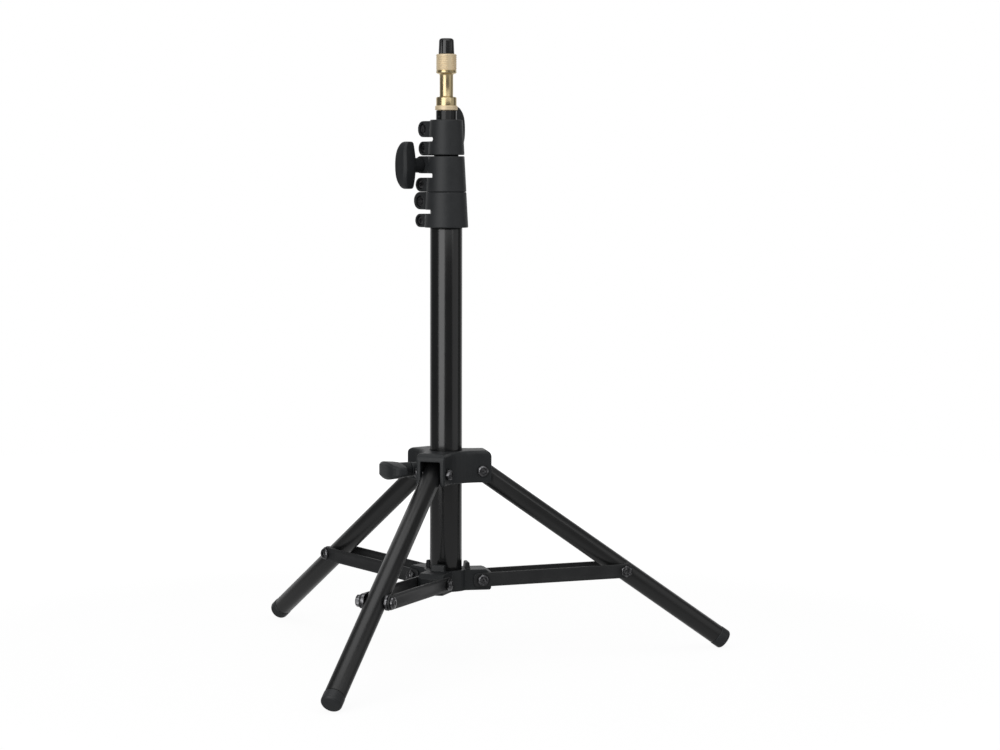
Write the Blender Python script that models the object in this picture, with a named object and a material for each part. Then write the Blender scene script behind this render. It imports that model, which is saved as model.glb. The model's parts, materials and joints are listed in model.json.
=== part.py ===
# Low light stand: three folding tube legs on a sliding spider, a column of four telescopic tubes
# held by three T-knob clamps, and a brass 16 mm stud with a thread cap. Metres, +Z up.
# The origin is the middle of the column foot's flat underside, and leg 1 points along +X.
import math

import bmesh
import bpy
from mathutils import Matrix, Vector

for old in list(bpy.data.objects):
    bpy.data.objects.remove(old)

# Clearances
TOUCH_GAP = 0.0003
RUNNING_GAP = 0.0002

# The bevel of a bolt's head, as a share of the head's height
HEAD_BEVEL_SHARE = 0.35

# Telescopic tubes: each riser's diameter follows from the tube that it runs in
COLUMN_DIAMETER = 0.025
TUBE_WALL = 0.001
NESTING_GAP = 0.0005
TUBE_SIDES = 24

# Column foot
PLUG_FLANGE = 0.002
PLUG_SPIGOT = 0.010
PLUG_WALL = 0.002
GUIDE_FLANGE = 0.004
GUIDE_SPIGOT = 0.010
GUIDE_WALL = 0.0015
FIRST_GUIDE_HEIGHT = 0.0180
GUIDE_SPACING = 0.0025

# Clamps, which shrink with the tube that each is bolted to: the lowest one's screws are at
# SCREW_RADIUS from the axis, and each one above has them a step nearer
BASE_CLAMP_HEIGHT = 0.2836
CLAMP_LENGTH = 0.02717
CLAMP_SPACING = 0.0009
CLAMP_WALL_BELOW = 0.0046
CLAMP_WALL_ABOVE = 0.00315
CLAMP_EDGE = 0.0005
LOWER_EAR = 0.0105
EAR_SLOT = 0.0033
UPPER_EAR = 0.0125
EAR_HALF_THICKNESS = 0.0080
SPLIT_WIDTH = 0.0020
SCREW_RADIUS = 0.0219
SCREW_STEP = 0.0006
TUBE_PAST_SLOT = 0.0020
BASE_CLAMP_AZIMUTH = 124.0
MIDDLE_CLAMP_AZIMUTH = 124.0
TOP_CLAMP_AZIMUTH = 117.0

# Clamp hardware
CLAMP_BOLT_RADIUS = 0.0020
CLAMP_BOLT_HEAD_RADIUS = 0.0035
CLAMP_BOLT_HEAD_LENGTH = 0.0040
CLAMP_NUT_ACROSS = 0.0070
CLAMP_NUT_LENGTH = 0.0032
CLAMP_NUT_SUNK = 0.0006
KNOB_SCREW_RADIUS = 0.0025
KNOB_NUT_ACROSS = 0.0080
KNOB_NUT_LENGTH = 0.0040

# T-knobs
KNOB_STEM_RADIUS = 0.00575
KNOB_STEM_LENGTH = 0.0090
KNOB_WING_LENGTH = 0.0367
KNOB_WING_WIDTH = 0.0134
KNOB_WING_DEPTH = 0.0130
KNOB_WING_END_WIDTH = 0.0064
KNOB_WING_END_DEPTH = 0.0070
KNOB_WING_FACE_SHARE = 0.72
KNOB_WING_ROOT_SHARE = 0.64
KNOB_WING_CORNER = 0.0010
KNOB_WING_END_SHARE = 0.72
KNOB_STEM_ROOT = 0.0030
KNOB_STEM_ROOT_SHARE = 0.92
KNOB_STEM_EDGE = 0.0010
KNOB_SCREW_SEAT = 0.0130

# Stud and cap
STUD_FLANGE_RISE = 0.00739
STUD_FLANGE_RADIUS = 0.0087
STUD_FLANGE_LENGTH = 0.0033
STUD_RADIUS = 0.0079
STUD_COLLAR_LENGTH = 0.0068
STUD_WAIST_RADIUS = 0.0052
STUD_WAIST_LENGTH = 0.0170
STUD_SHOULDER_LENGTH = 0.0029
STUD_HEAD_LENGTH = 0.0130
STUD_HEAD_FLATS = 0.0152
STUD_FLAT_COUNT = 4
STUD_FLAT_AZIMUTH = 12.0
STUD_SPIGOT_LENGTH = 0.0300
STUD_THREAD_RADIUS = 0.00476
STUD_THREAD_LENGTH = 0.0105
STUD_EDGE = 0.0006
STUD_PIN_RADIUS = 0.0012
STUD_PIN_DROP = 0.0051
STUD_PIN_AZIMUTH = 125.0
CAP_LENGTH = 0.0122
CAP_BASE_RADIUS = 0.0061
CAP_TOP_RADIUS = 0.0057
CAP_ROUNDING = 0.0022

# Leg linkage, measured along leg 1
LEG_DIAMETER = 0.0155
LEG_WALL = 0.001
LEG_SLOPE = 35.38
LEG_LENGTH = 0.2448
LEG_PIVOT_RADIUS = 0.0273
LEG_PIVOT_HEIGHT = 0.0942
LEG_PAST_PIVOT = 0.0050
STRUT_JOINT_ALONG_LEG = 0.1410
STRUT_PIVOT_RADIUS = 0.0276
STRUT_PIVOT_HEIGHT = 0.00855
LEG_SIDES = 16

# Leg fittings
FOOT_LENGTH = 0.0088
FOOT_RADIUS = 0.0080
FOOT_ROUNDING = 0.0026
FOOT_SPIGOT = 0.0120
TOP_PLUG_HEAD = 0.0016
TOP_PLUG_EDGE = 0.0020
TOP_PLUG_SPIGOT = 0.0160

# Struts
STRAP_HEIGHT = 0.0110
STRAP_THICKNESS = 0.0016
STRAP_SPACING = 0.0210
STRAP_PAST_INNER_PIVOT = 0.0073
STRAP_INNER_ROUNDING = 0.0040
WASHER_RADIUS = 0.0060

# Pivot bolts
PIVOT_BOLT_RADIUS = 0.0025
PIVOT_HEAD_RADIUS = 0.0045
PIVOT_HEAD_LENGTH = 0.0026
PIVOT_NUT_ACROSS = 0.0080
PIVOT_NUT_LENGTH = 0.0030
PIVOT_BOLT_SHOWS = 0.0006

# Upper spider
YOKE_CHEEK = 0.0036
YOKE_SIDE_GAP = 0.0003
YOKE_NOSE = 0.0071
YOKE_BELOW_PIVOT = 0.0092
YOKE_ABOVE_PIVOT = 0.0160
YOKE_WEB = 0.0064
YOKE_TOP_ROUNDING = 0.0028
YOKE_FOOT_ROUNDING = 0.0010
YOKE_END_ROUNDING = 0.0011
HUB_BLEND = 0.0300
HUB_WALL = 0.0044
BOSS_AZIMUTH = 195.0
BOSS_RADIUS = 0.0056
BOSS_REACH = 0.0304
BOSS_ABOVE_PIVOT = 0.0020
BRAKE_SCREW_RADIUS = 0.0030
BRAKE_PAD_LENGTH = 0.0025

# Lower spider
LUG_BELOW_PIVOT = 0.0082
LUG_ABOVE_PIVOT = 0.0080
LUG_NOSE = 0.0081
LUG_CHAMFER = 0.0040
LUG_CHAMFER_DROP = 0.0032
LUG_FOOT_CHAMFER = 0.0008
RING_WALL = 0.0042
TAB_INNER_GAP = 0.0019
TAB_THICKNESS = 0.0041
TAB_WIDTH = 0.0110
TAB_RISE = 0.0053
FOOT_SCREW_RADIUS = 0.0016
FOOT_SCREW_HEAD_RADIUS = 0.0028
FOOT_SCREW_HEAD_LENGTH = 0.0015
FOOT_SCREW_HEIGHT = 0.0080
FOOT_SCREW_AZIMUTH = 60.0

# Worked out from the sizes above
column_radius = COLUMN_DIAMETER / 2
tube_step = TUBE_WALL + NESTING_GAP
riser_radii = [column_radius - tube_step * (index + 1) for index in range(3)]
leg_radius = LEG_DIAMETER / 2
clamp_heights = [BASE_CLAMP_HEIGHT + index * (CLAMP_LENGTH + CLAMP_SPACING) for index in range(3)]
tube_past_clamp_foot = LOWER_EAR + EAR_SLOT + TUBE_PAST_SLOT
stud_flange_height = clamp_heights[2] + CLAMP_LENGTH + STUD_FLANGE_RISE
leg_slope = math.radians(LEG_SLOPE)
leg_pivot = Vector((LEG_PIVOT_RADIUS, 0, LEG_PIVOT_HEIGHT))
strut_pivot = Vector((STRUT_PIVOT_RADIUS, 0, STRUT_PIVOT_HEIGHT))
leg_direction = Vector((math.cos(leg_slope), 0, -math.sin(leg_slope)))
strut_joint = leg_pivot + leg_direction * STRUT_JOINT_ALONG_LEG
strut_length = (strut_joint - strut_pivot).length
strut_direction = (strut_joint - strut_pivot) / strut_length
yoke_slot_half = leg_radius + YOKE_SIDE_GAP
yoke_half_width = yoke_slot_half + YOKE_CHEEK
lug_half_width = STRAP_SPACING / 2 - TOUCH_GAP
strap_outside = STRAP_SPACING / 2 + STRAP_THICKNESS

UP = Vector((0, 0, 1))


def material(name, colour, roughness, metallic=0.0):
    made = bpy.data.materials.new(name)
    made.use_nodes = True
    shader = made.node_tree.nodes["Principled BSDF"]
    shader.inputs["Base Color"].default_value = (*colour, 1)
    shader.inputs["Roughness"].default_value = roughness
    shader.inputs["Metallic"].default_value = metallic
    made.diffuse_color = (*colour, 1)
    return made


def black_tube(name):
    return material(name + "_black_tube", (0.020, 0.021, 0.022), 0.38, 0.3)


def black_plastic(name):
    return material(name + "_black_plastic", (0.028, 0.029, 0.031), 0.55)


def cast_black(name):
    return material(name + "_cast_black", (0.024, 0.025, 0.026), 0.48, 0.1)


def dark_steel(name):
    return material(name + "_dark_steel", (0.12, 0.12, 0.12), 0.35, 0.9)


def brass(name):
    return material(name + "_brass", (0.68, 0.51, 0.25), 0.30, 1.0)


def nylon(name):
    return material(name + "_nylon", (0.045, 0.045, 0.045), 0.6)


def direction(azimuth):
    angle = math.radians(azimuth)
    return Vector((math.cos(angle), math.sin(angle), 0))


def axes_empty(name, place, along, across=UP):
    """An empty at place whose Z points along a piece's axis and whose X lies towards across."""
    z_axis = Vector(along).normalized()
    x_axis = (Vector(across) - z_axis * z_axis.dot(across)).normalized()
    turn = Matrix((x_axis, z_axis.cross(x_axis), z_axis)).transposed()
    empty = bpy.data.objects.new(name, None)
    bpy.context.collection.objects.link(empty)
    empty.location = place
    empty.rotation_euler = turn.to_euler()
    return empty


def add_object(name, mesh, finish=None, parent=None):
    made = bpy.data.objects.new(name, mesh)
    bpy.context.collection.objects.link(made)
    if finish:
        mesh.materials.append(finish(name))
    made.parent = parent
    return made


def finished(bm, name, smooth_angle=40):
    bmesh.ops.recalc_face_normals(bm, faces=bm.faces)
    mesh = bpy.data.meshes.new(name)
    bm.to_mesh(mesh)
    bm.free()
    mesh.shade_smooth()
    mesh.set_sharp_from_angle(angle=math.radians(smooth_angle))
    return mesh


def turned(name, profile, sides, finish=None, parent=None):
    """A closed profile of (radius, height) points turned about the local Z axis."""
    bm = bmesh.new()
    add_turned(bm, profile, sides)
    return add_object(name, finished(bm, name), finish, parent)


def add_turned(bm, profile, sides):
    corners = [bm.verts.new((radius, 0, height)) for radius, height in profile]
    pairs = zip(corners, corners[1:] + corners[:1])
    edges = [bm.edges.new(pair) for pair in pairs if max(v.co.x for v in pair) > 0]
    bmesh.ops.spin(bm, geom=corners + edges, axis=(0, 0, 1), cent=(0, 0, 0),
                   angle=math.tau, steps=sides, use_merge=True)
    bmesh.ops.remove_doubles(bm, verts=bm.verts, dist=1e-6)


def extruded(name, outline, low, high, finish=None, parent=None, axis="Z"):
    """An outline of two coordinates extruded from low to high along an axis.

    Along Z the outline is (x, y), and along Y it is (x, z).
    """
    bm = bmesh.new()
    add_extruded(bm, outline, low, high, axis)
    return add_object(name, finished(bm, name), finish, parent)


def add_extruded(bm, outline, low, high, axis="Z"):
    if axis == "Z":
        corners = [bm.verts.new((a, b, low)) for a, b in outline]
        step = (0, 0, high - low)
    else:
        corners = [bm.verts.new((a, low, b)) for a, b in outline]
        step = (0, high - low, 0)
    face = bm.faces.new(corners)
    top = bmesh.ops.extrude_face_region(bm, geom=[face])["geom"]
    bmesh.ops.translate(bm, vec=step, verts=[v for v in top if isinstance(v, bmesh.types.BMVert)])


def arc(centre, radius, start, end, steps):
    angles = [math.radians(start + (end - start) * index / steps) for index in range(steps + 1)]
    return [(centre[0] + radius * math.cos(a), centre[1] + radius * math.sin(a)) for a in angles]


def box_outline(x_low, x_high, y_low, y_high):
    return [(x_low, y_low), (x_high, y_low), (x_high, y_high), (x_low, y_high)]


def polygon_radius(across_flats, sides=6):
    return across_flats / 2 / math.cos(math.pi / sides)


def cut(piece, *cutters, operation="DIFFERENCE"):
    """Cut a piece at once by all the hidden cutters, which share its local axes."""
    name = f"{piece.name}_{operation.lower()}"
    group = bpy.data.collections.new(name)
    bpy.context.scene.collection.children.link(group)
    for cutter in cutters:
        cutter.parent = piece
        cutter.hide_render = True
        cutter.display_type = "WIRE"
        group.objects.link(cutter)
    boolean = piece.modifiers.new(name, "BOOLEAN")
    boolean.operand_type = "COLLECTION"
    boolean.collection = group
    boolean.operation = operation
    boolean.solver = "EXACT"


def cylinder_outline(radius, low, high):
    return [(0, low), (radius, low), (radius, high), (0, high)]


def cross_cylinder(name, radius, x, z, y_low, y_high, sides=12):
    """A cylinder along the local Y axis, for holes across a piece."""
    made = turned(name, cylinder_outline(radius, y_low, y_high), sides)
    lay_along_y(made, x, z)
    return made


def lay_along_y(made, x, z):
    made.data.transform(Matrix.Translation((x, 0, z)) @ Matrix.Rotation(math.radians(-90), 4, "X"))


def tube_profile(radius, wall, low, high):
    return [(radius - wall, low), (radius, low), (radius, high), (radius - wall, high)]


def nut_profile(across, bore_radius, low, high):
    hole = polygon_radius(2 * (bore_radius + RUNNING_GAP))
    return [(hole, low), (polygon_radius(across), low), (polygon_radius(across), high), (hole, high)]


def bolt_profile(shank_radius, tip, head_low, head_radius, head_high):
    """A bolt along Z with its tip at a low height and a rounded head at the top."""
    edge = (head_high - head_low) * HEAD_BEVEL_SHARE
    return [(0, tip), (shank_radius, tip), (shank_radius, head_low), (head_radius, head_low),
            (head_radius, head_high - edge), (head_radius - edge, head_high), (0, head_high)]


def column_tube():
    foot = PLUG_FLANGE + TOUCH_GAP
    top = clamp_heights[0] + tube_past_clamp_foot
    tube = turned("column_tube", tube_profile(column_radius, TUBE_WALL, foot, top), TUBE_SIDES, black_tube)
    cut(tube, foot_screw_hole("column_screw_hole"))


def foot_screw_hole(name):
    hole = turned(name, cylinder_outline(FOOT_SCREW_RADIUS + RUNNING_GAP, 0, column_radius * 2), 12)
    aim = direction(FOOT_SCREW_AZIMUTH).to_track_quat("Z", "Y").to_matrix().to_4x4()
    hole.data.transform(Matrix.Translation((0, 0, FOOT_SCREW_HEIGHT)) @ aim)
    return hole


def column_plug():
    spigot = column_radius - TUBE_WALL - TOUCH_GAP
    top = PLUG_FLANGE + PLUG_SPIGOT
    profile = [(0, 0), (column_radius, 0), (column_radius, PLUG_FLANGE), (spigot, PLUG_FLANGE), (spigot, top),
               (spigot - PLUG_WALL, top), (spigot - PLUG_WALL, PLUG_FLANGE), (0, PLUG_FLANGE)]
    plug = turned("column_plug", profile, TUBE_SIDES, black_plastic)
    cut(plug, foot_screw_hole("plug_screw_hole"))


def foot_screw():
    """The screw that holds the lower spider, the column and its plug together, at the back."""
    frame = axes_empty("foot_screw_axis", (0, 0, FOOT_SCREW_HEIGHT), direction(FOOT_SCREW_AZIMUTH))
    seat = column_radius + TOUCH_GAP + RING_WALL + TOUCH_GAP
    tip = column_radius - TUBE_WALL - TOUCH_GAP - PLUG_WALL
    profile = bolt_profile(FOOT_SCREW_RADIUS, tip, seat, FOOT_SCREW_HEAD_RADIUS,
                           seat + FOOT_SCREW_HEAD_LENGTH)
    turned("foot_screw", profile, 12, dark_steel, frame)


def riser_foot(index):
    """The height of a riser's lower end, over its guide's flange."""
    return guide_foot(index) + GUIDE_FLANGE + TOUCH_GAP


def guide_foot(index):
    step = GUIDE_FLANGE + TOUCH_GAP + GUIDE_SPIGOT + GUIDE_SPACING
    return FIRST_GUIDE_HEIGHT + index * step


def riser_guide(index):
    """The plastic guide in a riser's lower end, which runs in the tube outside it."""
    radius = riser_radii[index]
    low = guide_foot(index)
    flange = radius + NESTING_GAP - RUNNING_GAP
    spigot = radius - TUBE_WALL - TOUCH_GAP
    top = riser_foot(index) + GUIDE_SPIGOT
    profile = [(spigot - GUIDE_WALL, low), (flange, low), (flange, low + GUIDE_FLANGE),
               (spigot, low + GUIDE_FLANGE), (spigot, top), (spigot - GUIDE_WALL, top)]
    turned(f"riser_{index + 1}_guide", profile, TUBE_SIDES, nylon)


def riser_tube(index):
    if index < 2:
        top = clamp_heights[index + 1] + tube_past_clamp_foot
    else:
        top = stud_flange_height - TOUCH_GAP
    profile = tube_profile(riser_radii[index], TUBE_WALL, riser_foot(index), top)
    tube = turned(f"riser_{index + 1}_tube", profile, TUBE_SIDES, black_tube)
    if index == 2:
        cut(tube, stud_pin_hole("riser_pin_hole"))


def stud_pin_hole(name):
    return turned_pin(name, STUD_PIN_RADIUS + RUNNING_GAP, column_radius)


def turned_pin(name, radius, reach, finish=None):
    """A cylinder across the top riser, through the stud's spigot."""
    pin = turned(name, cylinder_outline(radius, -reach, reach), 12, finish)
    lay_along_y(pin, 0, 0)
    pin.data.transform(Matrix.Translation((0, 0, stud_flange_height - STUD_PIN_DROP))
                       @ Matrix.Rotation(math.radians(STUD_PIN_AZIMUTH), 4, "Z"))
    return pin


def ears_outline(reach):
    """Both ears seen along their screws, each with a round end, before the slot is cut between them."""
    lower = LOWER_EAR / 2
    upper = UPPER_EAR / 2
    top = LOWER_EAR + EAR_SLOT + UPPER_EAR
    return ([(0, 0)] + arc((reach, lower), lower, -90, 90, 6) + arc((reach, top - upper), upper, -90, 90, 6)
            + [(0, top)])


def clamp(prefix, index, azimuth, knob_side):
    """A split clamp bolted to one tube, with a T-knob that grips the next tube in.

    In the clamp's axes X points out along the ears and Y along the screws, and knob_side says
    which way along Y the knob stands.
    """
    outer = ([column_radius] + riser_radii)[index]
    inner = riser_radii[index]
    frame = axes_empty(prefix + "_clamp_axes", (0, 0, clamp_heights[index]), UP, direction(azimuth))
    below = outer + CLAMP_WALL_BELOW
    above = outer + CLAMP_WALL_ABOVE
    barrel = [(0, 0), (below - CLAMP_EDGE, 0), (below, CLAMP_EDGE), (above, CLAMP_LENGTH - CLAMP_EDGE),
              (above - CLAMP_EDGE, CLAMP_LENGTH), (0, CLAMP_LENGTH)]
    body = turned(prefix + "_clamp", barrel, TUBE_SIDES, black_plastic, frame)
    screw_x = SCREW_RADIUS - index * SCREW_STEP
    lower_z = LOWER_EAR / 2
    upper_low = LOWER_EAR + EAR_SLOT
    upper_z = upper_low + UPPER_EAR / 2
    thick = EAR_HALF_THICKNESS
    past = screw_x * 2
    cut(body, extruded(prefix + "_ears", ears_outline(screw_x), -thick, thick, axis="Y"), operation="UNION")
    slot = extruded(prefix + "_slot_cutter", box_outline(-CLAMP_EDGE, past, LOWER_EAR, upper_low),
                    -past, past, axis="Y")
    split = extruded(prefix + "_split_cutter", box_outline(CLAMP_EDGE, past, -CLAMP_LENGTH, CLAMP_LENGTH * 2),
                     -SPLIT_WIDTH / 2, SPLIT_WIDTH / 2, axis="Y")
    tube_top = tube_past_clamp_foot + TOUCH_GAP
    wide = outer + TOUCH_GAP
    narrow = inner + TOUCH_GAP
    over = CLAMP_LENGTH * 2
    bore = turned(prefix + "_bore_cutter", [
        (0, -TUBE_WALL), (wide, -TUBE_WALL), (wide, tube_top), (narrow, tube_top), (narrow, over),
        (0, over)], TUBE_SIDES)
    screw_hole = cross_cylinder(prefix + "_screw_hole", KNOB_SCREW_RADIUS + RUNNING_GAP, screw_x, upper_z,
                                -past, past)
    bolt_hole = cross_cylinder(prefix + "_bolt_hole", CLAMP_BOLT_RADIUS + RUNNING_GAP, screw_x, lower_z,
                               -past, past)
    nut_room = KNOB_NUT_LENGTH + TOUCH_GAP
    recess_ends = sorted((-knob_side * (thick - nut_room), -knob_side * thick * 2))
    knob_nut_recess = turned(prefix + "_nut_recess", cylinder_outline(
        polygon_radius(KNOB_NUT_ACROSS + 2 * TOUCH_GAP), *recess_ends), 6)
    lay_along_y(knob_nut_recess, screw_x, upper_z)
    head_recess = cross_cylinder(prefix + "_head_recess", CLAMP_BOLT_HEAD_RADIUS + TOUCH_GAP, screw_x,
                                 lower_z, thick - CLAMP_BOLT_HEAD_LENGTH - TOUCH_GAP, thick * 2)
    bolt_nut_recess = turned(prefix + "_small_nut_recess", cylinder_outline(
        polygon_radius(CLAMP_NUT_ACROSS + 2 * TOUCH_GAP), -thick * 2,
        CLAMP_NUT_SUNK + CLAMP_NUT_LENGTH + TOUCH_GAP - thick), 6)
    lay_along_y(bolt_nut_recess, screw_x, lower_z)
    cut(body, slot, split, bore, screw_hole, bolt_hole, knob_nut_recess, head_recess, bolt_nut_recess)
    clamp_bolt(prefix, frame, screw_x, lower_z)
    knob_nut(prefix, frame, screw_x, upper_z, knob_side)
    along = direction(azimuth + 90) * knob_side
    place = direction(azimuth) * screw_x + Vector((0, 0, clamp_heights[index] + upper_z))
    t_knob(prefix + "_knob", place, along, UP, thick + TOUCH_GAP, -thick + nut_room - KNOB_NUT_LENGTH,
           KNOB_SCREW_RADIUS)


def nutted_bolt(name, shank_radius, head, nut, tip, frame):
    """A bolt along Z with its nut run on: head is (low, radius, high) and nut is (across, low, high)."""
    head_low, head_radius, head_high = head
    profile = bolt_profile(shank_radius, tip, head_low, head_radius, head_high)
    bolt = turned(name, profile, 12, dark_steel, frame)
    across, low, high = nut
    hexagon = turned(name + "_nut", cylinder_outline(polygon_radius(across), low, high), 6)
    cut(bolt, hexagon, operation="UNION")
    return bolt


def clamp_bolt(prefix, frame, screw_x, lower_z):
    thick = EAR_HALF_THICKNESS
    head = (thick - CLAMP_BOLT_HEAD_LENGTH, CLAMP_BOLT_HEAD_RADIUS, thick)
    nut = (CLAMP_NUT_ACROSS, CLAMP_NUT_SUNK - thick, CLAMP_NUT_SUNK - thick + CLAMP_NUT_LENGTH)
    bolt = nutted_bolt(prefix + "_clamp_bolt", CLAMP_BOLT_RADIUS, head, nut, -thick, frame)
    for piece in (bolt, *bolt.children):
        lay_along_y(piece, screw_x, lower_z)


def knob_nut(prefix, frame, screw_x, upper_z, knob_side):
    """The nut that the knob's screw runs in, trapped in a recess of the far ear."""
    thick = EAR_HALF_THICKNESS
    low, high = sorted((-knob_side * thick, -knob_side * (thick - KNOB_NUT_LENGTH)))
    nut = turned(prefix + "_knob_nut", nut_profile(KNOB_NUT_ACROSS, KNOB_SCREW_RADIUS, low, high), 6,
                 dark_steel, frame)
    lay_along_y(nut, screw_x, upper_z)


def wing_section(share):
    """A T-knob's wing cut square to its long axis, at a share from its middle to its end.

    It is widest at half its depth, and narrower at its outer face and where the stem joins it.
    Its depth stays nearly full until close to the end.
    """
    half = (KNOB_WING_WIDTH + (KNOB_WING_END_WIDTH - KNOB_WING_WIDTH) * share ** 2) / 2
    depth = KNOB_WING_DEPTH + (KNOB_WING_END_DEPTH - KNOB_WING_DEPTH) * share ** 4
    face = half * KNOB_WING_FACE_SHARE
    root = half * KNOB_WING_ROOT_SHARE
    side = [(root, 0), ((half + root) / 2, depth / 8), (half, depth / 2), (face, depth - KNOB_WING_CORNER),
            (face - KNOB_WING_CORNER, depth)]
    return [(-y, z) for y, z in side] + side[::-1]


def wing_mesh(bm, seat):
    """The wing along local X, lofted from sections, with its inner side at a height over the seat."""
    shares = [-1, -0.93, -0.7, -0.4, 0, 0.4, 0.7, 0.93, 1]
    rings = []
    for share in shares:
        squeeze = KNOB_WING_END_SHARE if abs(share) == 1 else 1
        points = wing_section(share)
        middle = sum(point[1] for point in points) / len(points)
        rings.append([bm.verts.new((share * KNOB_WING_LENGTH / 2, y * squeeze,
                                    seat + middle + (z - middle) * squeeze)) for y, z in points])
    for one, other in zip(rings, rings[1:]):
        join_rings(bm, one, other)
    bm.faces.new(rings[0])
    bm.faces.new(rings[-1])


def t_knob(name, place, along, wing_along, seat, screw_tip, screw_radius):
    """A T-knob and its screw: seat and screw_tip are heights along the screw from place."""
    frame = axes_empty(name + "_axis", place, along, wing_along)
    stem_top = seat + KNOB_STEM_LENGTH
    root = stem_top + KNOB_STEM_ROOT
    stem = [(0, seat), (KNOB_STEM_RADIUS, seat), (KNOB_STEM_RADIUS, stem_top - KNOB_STEM_EDGE),
            (KNOB_STEM_RADIUS * KNOB_STEM_ROOT_SHARE, root), (0, root)]
    knob = turned(name, stem, 16, black_plastic, frame)
    bm = bmesh.new()
    wing_mesh(bm, stem_top)
    cut(knob, add_object(name + "_wing", finished(bm, name + "_wing")), operation="UNION")
    bore_top = seat + KNOB_SCREW_SEAT
    bore = cylinder_outline(screw_radius + TOUCH_GAP, seat - TOUCH_GAP, bore_top)
    cut(knob, turned(name + "_bore_cutter", bore, 12))
    screw = cylinder_outline(screw_radius, screw_tip, bore_top - TOUCH_GAP)
    turned(name + "_screw", screw, 12, dark_steel, frame)


def stud():
    """The brass stud: a spigot in the top riser, a flange, a collar, a waist, a head and a thread."""
    spigot = riser_radii[2] - TUBE_WALL - TOUCH_GAP
    low = stud_flange_height
    collar = low + STUD_FLANGE_LENGTH
    waist = collar + STUD_COLLAR_LENGTH
    shoulder = waist + STUD_WAIST_LENGTH
    head = shoulder + STUD_SHOULDER_LENGTH
    top = head + STUD_HEAD_LENGTH
    seat = CAP_BASE_RADIUS + TOUCH_GAP
    edge = STUD_EDGE
    profile = [(0, low - STUD_SPIGOT_LENGTH), (spigot, low - STUD_SPIGOT_LENGTH), (spigot, low),
               (STUD_FLANGE_RADIUS, low), (STUD_FLANGE_RADIUS, collar - edge / 2),
               (STUD_FLANGE_RADIUS - edge / 2, collar), (STUD_RADIUS, collar),
               (STUD_RADIUS, waist - edge), (STUD_RADIUS - edge, waist), (STUD_WAIST_RADIUS, waist),
               (STUD_WAIST_RADIUS, shoulder), (STUD_RADIUS, head), (STUD_RADIUS, top - edge),
               (STUD_RADIUS - edge, top), (seat, top), (seat, top - TOUCH_GAP),
               (STUD_THREAD_RADIUS, top - TOUCH_GAP), (STUD_THREAD_RADIUS, top + STUD_THREAD_LENGTH - edge),
               (STUD_THREAD_RADIUS - edge, top + STUD_THREAD_LENGTH), (0, top + STUD_THREAD_LENGTH)]
    piece = turned("stud", profile, 24, brass)
    cutters = [stud_pin_hole("stud_pin_hole")]
    past_flat = box_outline(STUD_HEAD_FLATS / 2, STUD_RADIUS * 2, -STUD_RADIUS, STUD_RADIUS)
    for number in range(STUD_FLAT_COUNT):
        azimuth = STUD_FLAT_AZIMUTH + number * 360 / STUD_FLAT_COUNT
        flat = extruded(f"stud_flat_cutter_{number}", past_flat, shoulder, top + STUD_RADIUS)
        flat.data.transform(Matrix.Rotation(math.radians(azimuth), 4, "Z"))
        cutters.append(flat)
    cut(piece, *cutters)


def stud_top():
    return (stud_flange_height + STUD_FLANGE_LENGTH + STUD_COLLAR_LENGTH + STUD_WAIST_LENGTH
            + STUD_SHOULDER_LENGTH + STUD_HEAD_LENGTH)


def thread_cap():
    low = stud_top()
    top = low + CAP_LENGTH
    rounding = arc((CAP_TOP_RADIUS - CAP_ROUNDING, top - CAP_ROUNDING), CAP_ROUNDING, 0, 90, 4)
    bore = STUD_THREAD_RADIUS + TOUCH_GAP
    roof = low + STUD_THREAD_LENGTH + TOUCH_GAP
    profile = [(bore, low), (CAP_BASE_RADIUS, low)] + rounding + [(0, top), (0, roof), (bore, roof)]
    turned("thread_cap", profile, 16, black_plastic)


def rounded_prism(name, outline, low, high, foot_rounding, top_rounding, finish):
    """A prism with its foot bevelled and its top edge rounded, from an outline at any inset."""
    levels = [(foot_rounding, low), (0, low + foot_rounding)]
    levels += [(top_rounding * (1 - math.cos(a)), high + top_rounding * (math.sin(a) - 1))
               for a in (0, math.pi / 6, math.pi / 3, math.pi / 2)]
    bm = bmesh.new()
    rings = [[bm.verts.new((*point, height)) for point in outline(depth)] for depth, height in levels]
    for one, other in zip(rings, rings[1:]):
        join_rings(bm, one, other)
    bm.faces.new(rings[0])
    bm.faces.new(rings[-1])
    return add_object(name, finished(bm, name), finish)


def join_rings(bm, one, other):
    for index in range(len(one)):
        follow = (index + 1) % len(one)
        bm.faces.new((one[index], one[follow], other[follow], other[index]))


def yoke_outline(depth):
    """Three arms about the column with concave blends between them, at a depth inside their skin."""
    half = yoke_half_width - depth
    reach = LEG_PIVOT_RADIUS + YOKE_NOSE - depth
    corner = max(YOKE_END_ROUNDING - depth, YOKE_END_ROUNDING / 7)
    radius = HUB_BLEND + depth
    offset = (half + radius) / math.sin(math.radians(60))
    blend = (offset * math.cos(math.radians(60)), offset * math.sin(math.radians(60)))
    points = []
    for azimuth in (0, 120, 240):
        turn = Matrix.Rotation(math.radians(azimuth), 2)
        local = (arc((reach - corner, corner - half), corner, -90, 0, 2)
                 + arc((reach - corner, half - corner), corner, 0, 90, 2)
                 + arc(blend, radius, 270, 210, 6))
        points += [tuple(turn @ Vector(point)) for point in local]
    return points


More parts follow.
